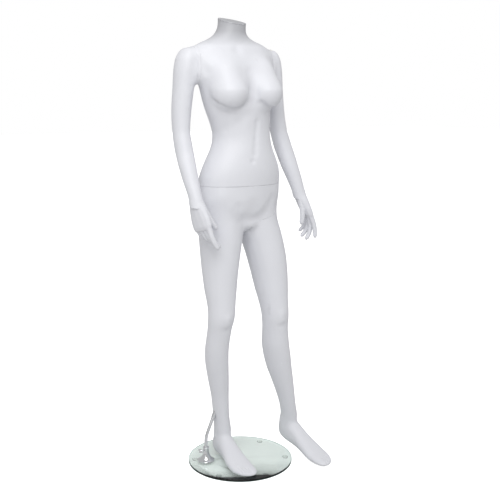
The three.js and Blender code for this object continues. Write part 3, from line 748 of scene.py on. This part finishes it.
def flange():
    """The foot of the rod, a trumpet curve from rim to neck, bored for the rod, its bolt and its screw."""
    low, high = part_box("base_flange")
    radius = (high.x - low.x) / 2
    base, top = low.z, high.z
    profile = [(radius - 1.6 * MM, base), (radius - 0.4 * MM, base + 0.6 * MM), (radius, base + 1.8 * MM),
               (radius - 0.2 * MM, base + 3.2 * MM), (radius - 1.2 * MM, base + 4.2 * MM),
               (radius - 3 * MM, base + 4.5 * MM)]
    steps = 12
    for step in range(1, steps + 1):
        share = step / steps
        curve = (1 - share) ** 3.2
        profile.append((10.3 * MM + curve * (radius - 14 * MM),
                        base + 4.6 * MM + share * (top - base - 9.4 * MM)))
    profile += [(11.2 * MM, top - 4.4 * MM), (11.6 * MM, top - 3.6 * MM), (11.6 * MM, top - 1.4 * MM),
                (11.1 * MM, top - 0.5 * MM), (10.2 * MM, top), (8 * MM, top)]
    piece = turned(FLANGE, profile)
    bored(piece, ROD_FOOT, Vector((FLANGE.x, FLANGE.y, top + 0.01)), ROD_RADIUS + RUNNING_FIT)
    bored(piece, FLANGE - UP * FLANGE.z, ROD_FOOT + UP * MM, 4.3 * MM)
    bored(piece, SCREW_AT, SCREW_AT + SCREW_OUT * 0.04, 3.3 * MM, sides=24)
    shade(piece, 32)
    return piece


def wing_screw():
    """The shank and hub of round bar, with two cast ears, fused and smoothed as one casting."""
    blanks = []
    for start, end, radius in ((6.5, 16, 3.0), (13.4, 21.6, 5.0)):
        start, end = (SCREW_AT + SCREW_OUT * distance * MM for distance in (start, end))
        blanks.append(bar(start, end, radius * MM, 32))
    beside = Vector((-SCREW_OUT.y, SCREW_OUT.x, 0))
    for way in (1, -1):
        heading = math.atan2(SCREW_OUT.y, SCREW_OUT.x) + way * 0.30
        deselect_all()
        middle = SCREW_AT + SCREW_OUT * 21 * MM + beside * way * 9.3 * MM
        bpy.ops.mesh.primitive_uv_sphere_add(segments=32, ring_count=16, radius=1, location=middle,
                                             rotation=(0, 0, heading))
        ear = bpy.context.object
        ear.scale = (7.2 * MM, 8.0 * MM, 1.9 * MM)
        bpy.ops.object.transform_apply(location=True, rotation=True, scale=True)
        blanks.append(ear)
    piece = fused(blanks, 0.42 * MM, 7)
    shade(piece, 60)
    return piece


def support_rod():
    """A round bar run straight up, bent about a former, and run on up into the calf."""
    bend_radius = 0.085
    turn_axis = UP.cross(ROD_UP).normalized()
    angle = UP.angle(ROD_UP)
    tangent = bend_radius * math.tan(angle / 2)
    rod = round_face(ROD_FOOT, ROD_RADIUS, 40)
    extrude(UP * (ROD_BEND.z - tangent - ROD_FOOT.z))
    start = ROD_BEND - UP * tangent
    former = start + turn_axis.cross(UP) * bend_radius
    bpy.ops.mesh.spin(steps=18, angle=angle, center=former, axis=-turn_axis)
    end = ROD_BEND + ROD_UP * tangent
    top = ROD_ENTRY + ROD_UP * 72 * MM
    extrude(top - end)
    merge_doubles(rod)
    recalculate(rod)
    round_edges(rod, 0.8 * MM, angle=60)
    shade(rod, 40)
    return rod


def calf_ferrule():
    """The tube set in the calf: a bored bar with a rounded lip that just shows where the rod goes in."""
    start, end = ROD_ENTRY - ROD_UP * 5 * MM, ROD_ENTRY + ROD_UP * 78 * MM
    tube = bar(start, end, FERRULE_RADIUS, 48)
    bored(tube, start - ROD_UP * 5 * MM, end - ROD_UP * 4 * MM, ROD_RADIUS + RUNNING_FIT)
    round_edges(tube, 0.4 * MM, angle=60)
    shade(tube, 40)
    return tube


# ---- shader node groups ----
def new_group(name, inputs, outputs):
    """An empty group with its sockets, each input with its kind and usual value."""
    tree = bpy.data.node_groups.new(name, "ShaderNodeTree")
    for key, (kind, value) in {"Vector": ("Vector", None), **inputs}.items():
        made = tree.interface.new_socket(name=key, in_out="INPUT", socket_type="NodeSocket" + kind)
        if value is not None:
            made.default_value = value
    for key in outputs:
        tree.interface.new_socket(name=key, in_out="OUTPUT", socket_type="NodeSocketFloat")
    return tree, tree.nodes.new("NodeGroupInput").outputs, tree.nodes.new("NodeGroupOutput").inputs


def add_node(tree, kind, **settings):
    """Adds a node. Settings are its properties, and inputs= holds plain values for its sockets."""
    node = tree.nodes.new(kind)
    for key, value in settings.pop("inputs", {}).items():
        node.inputs[key].default_value = value
    for key, value in settings.items():
        setattr(node, key, value)
    return node


def ramp(tree, source, low, high, low_value=0.0, high_value=1.0):
    """Maps low..high of a source to low_value..high_value, clamped."""
    node = add_node(tree, "ShaderNodeMapRange", inputs={
        "From Min": low, "From Max": high, "To Min": low_value, "To Max": high_value})
    tree.links.new(source, node.inputs["Value"])
    return node.outputs["Result"]


def noise(tree, vector, scale, detail=3.0, roughness=0.5):
    node = add_node(tree, "ShaderNodeTexNoise",
                    inputs={"Scale": scale, "Detail": detail, "Roughness": roughness})
    tree.links.new(vector, node.inputs["Vector"])
    return node.outputs["Fac"]


def mixed(tree, kind, factor, first, second):
    """A mix of two numbers or colours; each may be a value or another node's output."""
    node = add_node(tree, "ShaderNodeMix", data_type=kind)
    names = {"FLOAT": (0, 2, 3), "RGBA": (0, 6, 7)}[kind]
    for index, value in zip(names, (factor, first, second)):
        if hasattr(value, "links"):
            tree.links.new(value, node.inputs[index])
        else:
            node.inputs[index].default_value = value
    return node.outputs[{"FLOAT": 0, "RGBA": 2}[kind]]


def moulded_group():
    """A fine orange peel, a slow waviness and cloudy patches, as a sprayed moulding has."""
    tree, inside, outside = new_group("moulded surface", {"Peel Scale": ("Float", 700.0)},
                                      ("Height", "Patches"))
    peel = add_node(tree, "ShaderNodeTexNoise", inputs={"Detail": 2.0, "Roughness": 0.45})
    tree.links.new(inside["Vector"], peel.inputs["Vector"])
    tree.links.new(inside["Peel Scale"], peel.inputs["Scale"])
    slow = noise(tree, inside["Vector"], 38.0, 1.0)
    tree.links.new(mixed(tree, "FLOAT", 0.35, peel.outputs["Fac"], slow), outside["Height"])
    cloud = noise(tree, inside["Vector"], 9.0, 5.0, 0.6)
    tree.links.new(ramp(tree, cloud, 0.3, 0.7), outside["Patches"])
    return tree


def wear_group():
    """Where edges are rubbed and where dust lies in creases, from the surface's own curvature."""
    tree, inside, outside = new_group("edge wear and dust", {"Breakup Scale": ("Float", 60.0)},
                                      ("Rubbed", "Dust"))
    shape = tree.nodes.new("ShaderNodeNewGeometry").outputs["Pointiness"]
    breakup = add_node(tree, "ShaderNodeTexNoise", inputs={"Detail": 4.0})
    tree.links.new(inside["Vector"], breakup.inputs["Vector"])
    tree.links.new(inside["Breakup Scale"], breakup.inputs["Scale"])
    speckle = ramp(tree, breakup.outputs["Fac"], 0.42, 0.62)
    for name, low, high in (("Rubbed", 0.53, 0.60), ("Dust", 0.48, 0.43)):
        product = add_node(tree, "ShaderNodeMath", operation="MULTIPLY")
        tree.links.new(ramp(tree, shape, low, high), product.inputs[0])
        tree.links.new(speckle, product.inputs[1])
        tree.links.new(product.outputs[0], outside[name])
    return tree


def streak_group():
    """Fine lines along one axis, as drawn or turned metal has."""
    tree, inside, outside = new_group("drawn lines", {"Stretch": ("Vector", (900.0, 900.0, 40.0))},
                                      ("Lines", "Smudges"))
    stretched = add_node(tree, "ShaderNodeVectorMath", operation="MULTIPLY")
    tree.links.new(inside["Vector"], stretched.inputs[0])
    tree.links.new(inside["Stretch"], stretched.inputs[1])
    lines = noise(tree, stretched.outputs[0], 1.0, 2.0)
    tree.links.new(lines, outside["Lines"])
    smudge = noise(tree, inside["Vector"], 70.0, 4.0, 0.6)
    tree.links.new(ramp(tree, smudge, 0.5, 0.75), outside["Smudges"])
    return tree


GROUPS = {}


def group(tree, name, vector, **values):
    """Places one of the shared groups in a material, fed with object coordinates."""
    if not GROUPS:
        GROUPS.update(moulded=moulded_group(), wear=wear_group(), streaks=streak_group())
    node = tree.nodes.new("ShaderNodeGroup")
    node.node_tree = GROUPS[name]
    tree.links.new(vector, node.inputs["Vector"])
    for key, value in values.items():
        node.inputs[key.replace("_", " ")].default_value = value
    return node.outputs


# ---- materials ----
def new_material(name, **principled):
    """A material with a Principled shader set to plain values, and object coordinates to hand."""
    material = bpy.data.materials.new(name)
    material.use_nodes = True
    tree = material.node_tree
    shader = tree.nodes["Principled BSDF"]
    for key, value in principled.items():
        shader.inputs[key.replace("_", " ")].default_value = value
    where = tree.nodes.new("ShaderNodeTexCoord").outputs["Object"]
    return material, tree, shader, where


def add_bump(tree, shader, height, distance, strength):
    bump = add_node(tree, "ShaderNodeBump", inputs={"Strength": strength, "Distance": distance})
    tree.links.new(height, bump.inputs["Height"])
    tree.links.new(bump.outputs["Normal"], shader.inputs["Normal"])


def rgba(colour, share=1.0):
    return (colour[0] * share, colour[1] * share, colour[2] * share, 1.0)


NECK_PAINTED_SHADE = (1.485, 1.535)  # painted shade: the lacquer is darkened to grey between these heights, towards the cut of the neck
DUST = (0.34, 0.33, 0.32, 1)


def shell_material(name, colour, roughness):
    """Sprayed satin lacquer on a moulded shell, with painted shade darkening the neck towards its cut."""
    material, tree, shader, where = new_material(name, IOR=1.48, Coat_Weight=0.18, Coat_Roughness=0.22)
    moulded = group(tree, "moulded", where, Peel_Scale=700.0)
    wear = group(tree, "wear", where, Breakup_Scale=45.0)
    clean = mixed(tree, "RGBA", moulded["Patches"], rgba(colour, 0.985), rgba(colour))
    split = tree.nodes.new("ShaderNodeSeparateXYZ")
    tree.links.new(where, split.inputs["Vector"])
    # painted shade: the neck is darkened to 0.6 of the lacquer's colour towards its cut
    base = mixed(tree, "RGBA", ramp(tree, split.outputs["Z"], *NECK_PAINTED_SHADE), clean, rgba(colour, 0.60))
    dusty = mixed(tree, "RGBA", wear["Dust"], base, rgba(colour, 0.90))
    rubbed = mixed(tree, "RGBA", wear["Rubbed"], dusty, rgba(colour, 1.05))
    tree.links.new(rubbed, shader.inputs["Base Color"])
    satin = ramp(tree, moulded["Patches"], 0, 1, roughness - 0.03, roughness + 0.05)
    tree.links.new(satin, shader.inputs["Roughness"])
    add_bump(tree, shader, moulded["Height"], 0.05 * MM, 0.5)
    return material


def metal_material(name, colour, roughness, stretch, lines):
    """Plated or drawn metal with faint lines, finger marks and duller rubbed edges."""
    material, tree, shader, where = new_material(name, Metallic=1.0)
    streaks = group(tree, "streaks", where, Stretch=stretch)
    wear = group(tree, "wear", where, Breakup_Scale=220.0)
    tone = mixed(tree, "RGBA", wear["Rubbed"], rgba(colour), rgba(colour, 0.82))
    tree.links.new(mixed(tree, "RGBA", wear["Dust"], tone, DUST), shader.inputs["Base Color"])
    smooth = ramp(tree, streaks["Smudges"], 0, 1, roughness, roughness + 0.10)
    tree.links.new(smooth, shader.inputs["Roughness"])
    add_bump(tree, shader, streaks["Lines"], lines, 0.35)
    return material


def plastic_material(name, colour, roughness, speckle):
    """Cut board or moulded plastic with a fine speckle."""
    material, tree, shader, where = new_material(name)
    moulded = group(tree, "moulded", where, Peel_Scale=speckle)
    wear = group(tree, "wear", where, Breakup_Scale=90.0)
    base = mixed(tree, "RGBA", moulded["Patches"], rgba(colour, 0.9), rgba(colour))
    tree.links.new(mixed(tree, "RGBA", wear["Rubbed"], base, rgba(colour, 1.12)), shader.inputs["Base Color"])
    dull = ramp(tree, moulded["Height"], 0.3, 0.7, roughness - 0.06, roughness + 0.06)
    tree.links.new(dull, shader.inputs["Roughness"])
    add_bump(tree, shader, moulded["Height"], 0.12 * MM, 0.6)
    return material


def glass_material(name, tint, smear, shadow):
    """Clear float glass. Light that only passes through is let by, tinted, so that its shadow stays soft."""
    material, tree, shader, where = new_material(name, Metallic=0.0, Transmission_Weight=1.0, IOR=1.5)
    shader.inputs["Base Color"].default_value = tint
    cloud = noise(tree, where, 14.0, 5.0, 0.6)
    tree.links.new(ramp(tree, cloud, 0.5, 0.8, 0.0, smear), shader.inputs["Roughness"])
    add_bump(tree, shader, noise(tree, where, 60.0, 2.0), 0.02 * MM, 0.4)
    clear = add_node(tree, "ShaderNodeBsdfTransparent", inputs={"Color": shadow})
    path = tree.nodes.new("ShaderNodeLightPath")
    mix = tree.nodes.new("ShaderNodeMixShader")
    tree.links.new(path.outputs["Is Shadow Ray"], mix.inputs["Fac"])
    tree.links.new(shader.outputs["BSDF"], mix.inputs[1])
    tree.links.new(clear.outputs["BSDF"], mix.inputs[2])
    tree.links.new(mix.outputs["Shader"], tree.nodes["Material Output"].inputs["Surface"])
    return material


FINISHES = {}


def finish(name):
    """The materials, made once, by name."""
    if not FINISHES:
        look = bpy.context.scene.mannequin_finish
        FINISHES.update(
            shell=shell_material("white satin lacquer", look.shell_colour, look.shell_roughness),
            chrome=metal_material("bright chrome", look.chrome_colour, look.chrome_roughness,
                                  (500, 500, 60), 0.004 * MM),
            steel=metal_material("zinc plated steel", (0.52, 0.53, 0.55), 0.30,
                                 (900, 900, 90), 0.02 * MM),
            glass=glass_material("clear glass faces", (*look.glass_tint, 1), 0.05, (0.86, 0.93, 0.90, 1)),
            glass_edge=glass_material("polished glass edge", (*look.glass_edge, 1), 0.10,
                                      (0.55, 0.75, 0.68, 1)),
            rubber=glass_material("clear soft rubber", (0.93, 0.94, 0.93, 1), 0.45, (0.8, 0.8, 0.8, 1)),
            plate=plastic_material("grey white plate board", (0.66, 0.65, 0.62), 0.62, 1400.0),
            grey=plastic_material("grey nylon", (0.23, 0.235, 0.25), 0.48, 2200.0),
        )
    return FINISHES[name]


def finish_node(node, name):
    """A CAD node that keeps its shape gets one of the materials."""
    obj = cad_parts[node]
    if not obj.material_slots:
        obj.data.materials.append(finish(name))
    for place in obj.material_slots:
        place.material = finish(name)


# ---- settings that a user would change ----
class MannequinFinish(PropertyGroup):
    shell_colour: FloatVectorProperty(name="Shell colour", description="Lacquer of the moulded shells",
                                      subtype="COLOR", size=3, min=0, max=1, default=(0.755, 0.762, 0.802))
    shell_roughness: FloatProperty(name="Shell roughness", description="How satin the lacquer is",
                                   min=0.1, max=1, default=0.50)
    chrome_colour: FloatVectorProperty(name="Chrome colour",
                                       description="Plating of the rod, flange and wing screw",
                                       subtype="COLOR", size=3, min=0, max=1, default=(0.80, 0.81, 0.83))
    chrome_roughness: FloatProperty(name="Chrome roughness", description="How dull the plating is",
                                    min=0.01, max=1, default=0.07)
    glass_tint: FloatVectorProperty(name="Glass tint",
                                    description="Colour seen through the faces of the base",
                                    subtype="COLOR", size=3, min=0, max=1, default=(0.935, 0.975, 0.957))
    glass_edge: FloatVectorProperty(name="Glass edge", description="Colour of the polished edge of the base",
                                    subtype="COLOR", size=3, min=0, max=1, default=(0.16, 0.42, 0.36))


class MannequinStudio(PropertyGroup):
    key_power: FloatProperty(name="Key power", description="Power of the big soft light overhead",
                             unit="POWER", min=0, default=32)
    fill_power: FloatProperty(name="Fill power", description="Power of the soft light by the camera",
                              unit="POWER", min=0, default=4)
    sky: FloatProperty(name="Surroundings", description="Light that the white room gives",
                       min=0, default=0.70)
    mirrored: FloatProperty(name="Mirrored room", description="Brightness of the room in gloss",
                            min=0, default=0.5)
    glow: FloatProperty(name="Floor glow", description="How much the floor is lit from below",
                        min=0, default=0.75)
    glow_through: FloatProperty(name="Glow through glass", description="How much of it the base shows",
                                min=0, default=0.22)
    bounce: FloatProperty(name="Floor bounce", description="Share of light the floor throws back",
                          min=0, max=1, default=0.65)
    lens: FloatProperty(name="Lens", description="Focal length of the camera on a 36 mm sensor",
                        unit="CAMERA", min=10, default=59.1)
    pitch: FloatProperty(name="Pitch", description="How far the camera looks down", subtype="ANGLE",
                         default=math.radians(10.22))


# ---- the stage ----
def soft_light(name, place, target, size, power):
    deselect_all()
    bpy.ops.object.light_add(type="AREA", location=place)
    light = bpy.context.object
    light.name = name
    light.data.shape = "DISK"
    light.data.size = size
    light.data.energy = power
    light.rotation_euler = (Vector(target) - Vector(place)).to_track_quat("-Z", "Y").to_euler()


def floor_material(studio):
    """A white floor that looks evenly lit, and throws less light back up than it seems to."""
    material, tree, shader, where = new_material("pale floor", Roughness=0.9)
    shader.inputs["Specular IOR Level"].default_value = 0.1
    shader.inputs["Emission Color"].default_value = (1, 1, 1, 1)
    path = tree.nodes.new("ShaderNodeLightPath").outputs
    cloud = noise(tree, where, 1.4, 3.0)
    pale = mixed(tree, "RGBA", cloud, (0.93, 0.93, 0.93, 1), (0.95, 0.95, 0.95, 1))
    bounced = (studio.bounce, studio.bounce, studio.bounce, 1)
    seen = add_node(tree, "ShaderNodeMath", operation="MAXIMUM")
    tree.links.new(path["Is Camera Ray"], seen.inputs[0])
    tree.links.new(path["Is Transmission Ray"], seen.inputs[1])
    tree.links.new(mixed(tree, "RGBA", seen.outputs[0], bounced, pale), shader.inputs["Base Color"])
    through = mixed(tree, "FLOAT", path["Is Transmission Ray"], 0.0, studio.glow_through)
    glow = mixed(tree, "FLOAT", path["Is Camera Ray"], through, studio.glow)
    tree.links.new(glow, shader.inputs["Emission Strength"])
    return material


def white_room(studio):
    """Surroundings that look white, and light the figure and its gloss less than they seem to."""
    world = bpy.data.worlds.new("white room")
    world.use_nodes = True
    tree = world.node_tree
    room = tree.nodes["Background"]
    room.inputs["Color"].default_value = (1, 1, 1, 1)
    path = tree.nodes.new("ShaderNodeLightPath").outputs
    mirrored = mixed(tree, "FLOAT", path["Is Glossy Ray"], 1.0, studio.mirrored)
    strength = mixed(tree, "FLOAT", path["Is Diffuse Ray"], mirrored, studio.sky)
    tree.links.new(strength, room.inputs["Strength"])
    return world


CAMERA_AT = (-1.552, -2.390, 1.303)
CAMERA_HEADING = Vector((0.5553, 0.8317, 0)).normalized()


class MANNEQUIN_OT_stage(Operator):
    """Sets up the floor, the white room, the lights and the camera"""
    bl_idname = "mannequin.stage"
    bl_label = "Stage"

    def execute(self, context):
        studio = context.scene.mannequin_studio
        for name in ("Cube", "Light", "Camera"):
            if name in bpy.data.objects:
                bpy.data.objects.remove(bpy.data.objects[name])
        deselect_all()
        bpy.ops.mesh.primitive_plane_add(size=60, location=(0, 0, 0))
        floor = context.object
        floor.name = "floor"
        floor.data.materials.append(floor_material(studio))
        context.scene.world = white_room(studio)
        context.scene.view_settings.view_transform = "Standard"
        soft_light("key light", (-1.1, -1.6, 2.7), (0, 0, 1.2), 2.2, studio.key_power)
        soft_light("fill light", (-2.6, -2.2, 1.6), (0, 0, 1.0), 1.6, studio.fill_power)
        bpy.ops.object.camera_add(location=CAMERA_AT)
        camera = context.object
        view = CAMERA_HEADING * math.cos(studio.pitch) - UP * math.sin(studio.pitch)
        camera.rotation_euler = view.to_track_quat("-Z", "Y").to_euler()
        camera.data.lens = studio.lens
        camera.data.sensor_width = 36
        context.scene.camera = camera
        return {"FINISHED"}


# ---- the pieces ----
class MANNEQUIN_OT_base(Operator):
    """Makes the glass base, its bumpers, and the flange with its gasket and bolt"""
    bl_idname = "mannequin.base"
    bl_label = "Glass base"

    def execute(self, context):
        disc = glass_disc()
        place_in_set(disc, "glass_disc", "base", "clear_glass", "glass glass_edge", "glass_base")
        for face in disc.data.polygons:
            face.material_index = int(face.center.xy.length > GLASS_EDGE)
        for node in sorted(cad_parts):
            if node.startswith("bumper"):
                name = node.replace("bumper", "clear_bumper")
                place_in_set(bumper(node), name, "base", "clear_rubber", "rubber", node)
        place_in_set(flange(), "trumpet_flange", "base", "chrome", "chrome", "base_flange")
        finish_node("flange_gasket", "rubber")
        finish_node("flange_bolt", "steel")
        return {"FINISHED"}


class MANNEQUIN_OT_rod(Operator):
    """Makes the bent calf rod and its wing screw"""
    bl_idname = "mannequin.rod"
    bl_label = "Calf rod"

    def execute(self, context):
        place_in_set(support_rod(), "bent_calf_rod", "rod", "chrome", "chrome", "support_rod")
        place_in_set(wing_screw(), "cast_wing_screw", "wing", "chrome", "chrome", "wing_screw")
        place_in_set(calf_ferrule(), "calf_ferrule", "lower_body", "steel", "chrome", "calf_socket")
        return {"FINISHED"}


ENDS = (  # part, its cut, the way out of it, the recess for its plate and its gap
    ("torso", WAIST, -UP, TORSO_RECESS, SEAM),
    ("torso", RIGHT_SHOULDER, -ACROSS, TORSO_RECESS, SEAM),
    ("torso", LEFT_SHOULDER, ACROSS, TORSO_RECESS, SEAM),
    ("torso", NECK_SEAM, NECK_NORMAL, None, SEAM),
    ("lower_body", WAIST, UP, LIMB_RECESS, SEAM),
    ("right_arm", RIGHT_SHOULDER, ACROSS, LIMB_RECESS, SEAM),
    ("left_arm", LEFT_SHOULDER, -ACROSS, LIMB_RECESS, SEAM),
    ("right_arm", *WRISTS["right"], None, WRIST_SEAM),
    ("left_arm", *WRISTS["left"], None, WRIST_SEAM),
    ("neck", NECK_SEAM, -NECK_NORMAL, None, SEAM),
    ("neck", NECK_TOP, NECK_NORMAL, None, SEAM),
)
OWN_NODE = ("right_hand", "left_hand")  # these parts and their nodes share a name


class MANNEQUIN_OT_figure(Operator):
    """Makes the torso, lower body, left leg, arms, neck cap and hands as smooth shells"""
    bl_idname = "mannequin.figure"
    bl_label = "Figure"

    def execute(self, context):
        tree = whole_figure_tree()
        body = whole_skin(tree)
        sculpt(body)
        hands = {side + "_hand": fine_hand(body, side, tree) for side in WRISTS}
        parts = cut_body(body)
        for name, *end in ENDS:
            close_end(parts[name], *end)
        close_thigh(parts["lower_body"], -THIGH_NORMAL)
        close_thigh(parts["left_leg"], THIGH_NORMAL)
        model_toes(parts["lower_body"], "right")
        model_toes(parts["left_leg"], "left")
        bored(parts["lower_body"], ROD_ENTRY - ROD_UP * 0.05, ROD_ENTRY + ROD_UP * HOLE_TOP,
              FERRULE_RADIUS + RUNNING_FIT)
        for name, part in parts.items():
            round_edges(part, 0.2 * MM if "arm" in name else 0.5 * MM, angle=55)
        for name, part in {**parts, **hands}.items():
            shade(part, 28)
            rides_on = "torso" if name == "neck" else name
            node = "neck_cap" if name == "neck" else name if name in OWN_NODE else name + "_shell"
            place_in_set(part, "smooth_" + name, rides_on, "white_shell", "shell", node)
        return {"FINISHED"}


class MANNEQUIN_OT_fittings(Operator):
    """Finishes the plates, pegs, spigot, bushes and pins inside the figure"""
    bl_idname = "mannequin.fittings"
    bl_label = "Fittings"

    def execute(self, context):
        kinds = (("_plate", "plate"), ("_spigot", "steel"), ("_peg", "steel"), ("_bush", "grey"),
                 ("_pin", "steel"))
        for node in sorted(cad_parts):
            for ending, name in kinds:
                if node.endswith(ending):
                    finish_node(node, name)
        return {"FINISHED"}


class MANNEQUIN_PT_panel(Panel):
    bl_label = "Mannequin"
    bl_idname = "MANNEQUIN_PT_panel"
    bl_space_type = "VIEW_3D"
    bl_region_type = "UI"
    bl_category = "Mannequin"

    def draw(self, context):
        for operator in OPERATORS:
            self.layout.operator(operator.bl_idname)
        for settings in (context.scene.mannequin_finish, context.scene.mannequin_studio):
            for key in settings.__annotations__:
                self.layout.prop(settings, key)


OPERATORS = (MANNEQUIN_OT_stage, MANNEQUIN_OT_base, MANNEQUIN_OT_rod, MANNEQUIN_OT_figure,
             MANNEQUIN_OT_fittings)
CLASSES = (MannequinFinish, MannequinStudio, *OPERATORS, MANNEQUIN_PT_panel)


def register():
    for item in CLASSES:
        bpy.utils.register_class(item)
    bpy.types.Scene.mannequin_finish = PointerProperty(type=MannequinFinish)
    bpy.types.Scene.mannequin_studio = PointerProperty(type=MannequinStudio)


def unregister():
    del bpy.types.Scene.mannequin_studio
    del bpy.types.Scene.mannequin_finish
    for item in reversed(CLASSES):
        bpy.utils.unregister_class(item)


def main():
    register()
    bpy.ops.mannequin.stage()
    bpy.ops.mannequin.base()
    bpy.ops.mannequin.rod()
    bpy.ops.mannequin.figure()
    bpy.ops.mannequin.fittings()


if __name__ == "__main__":
    main()
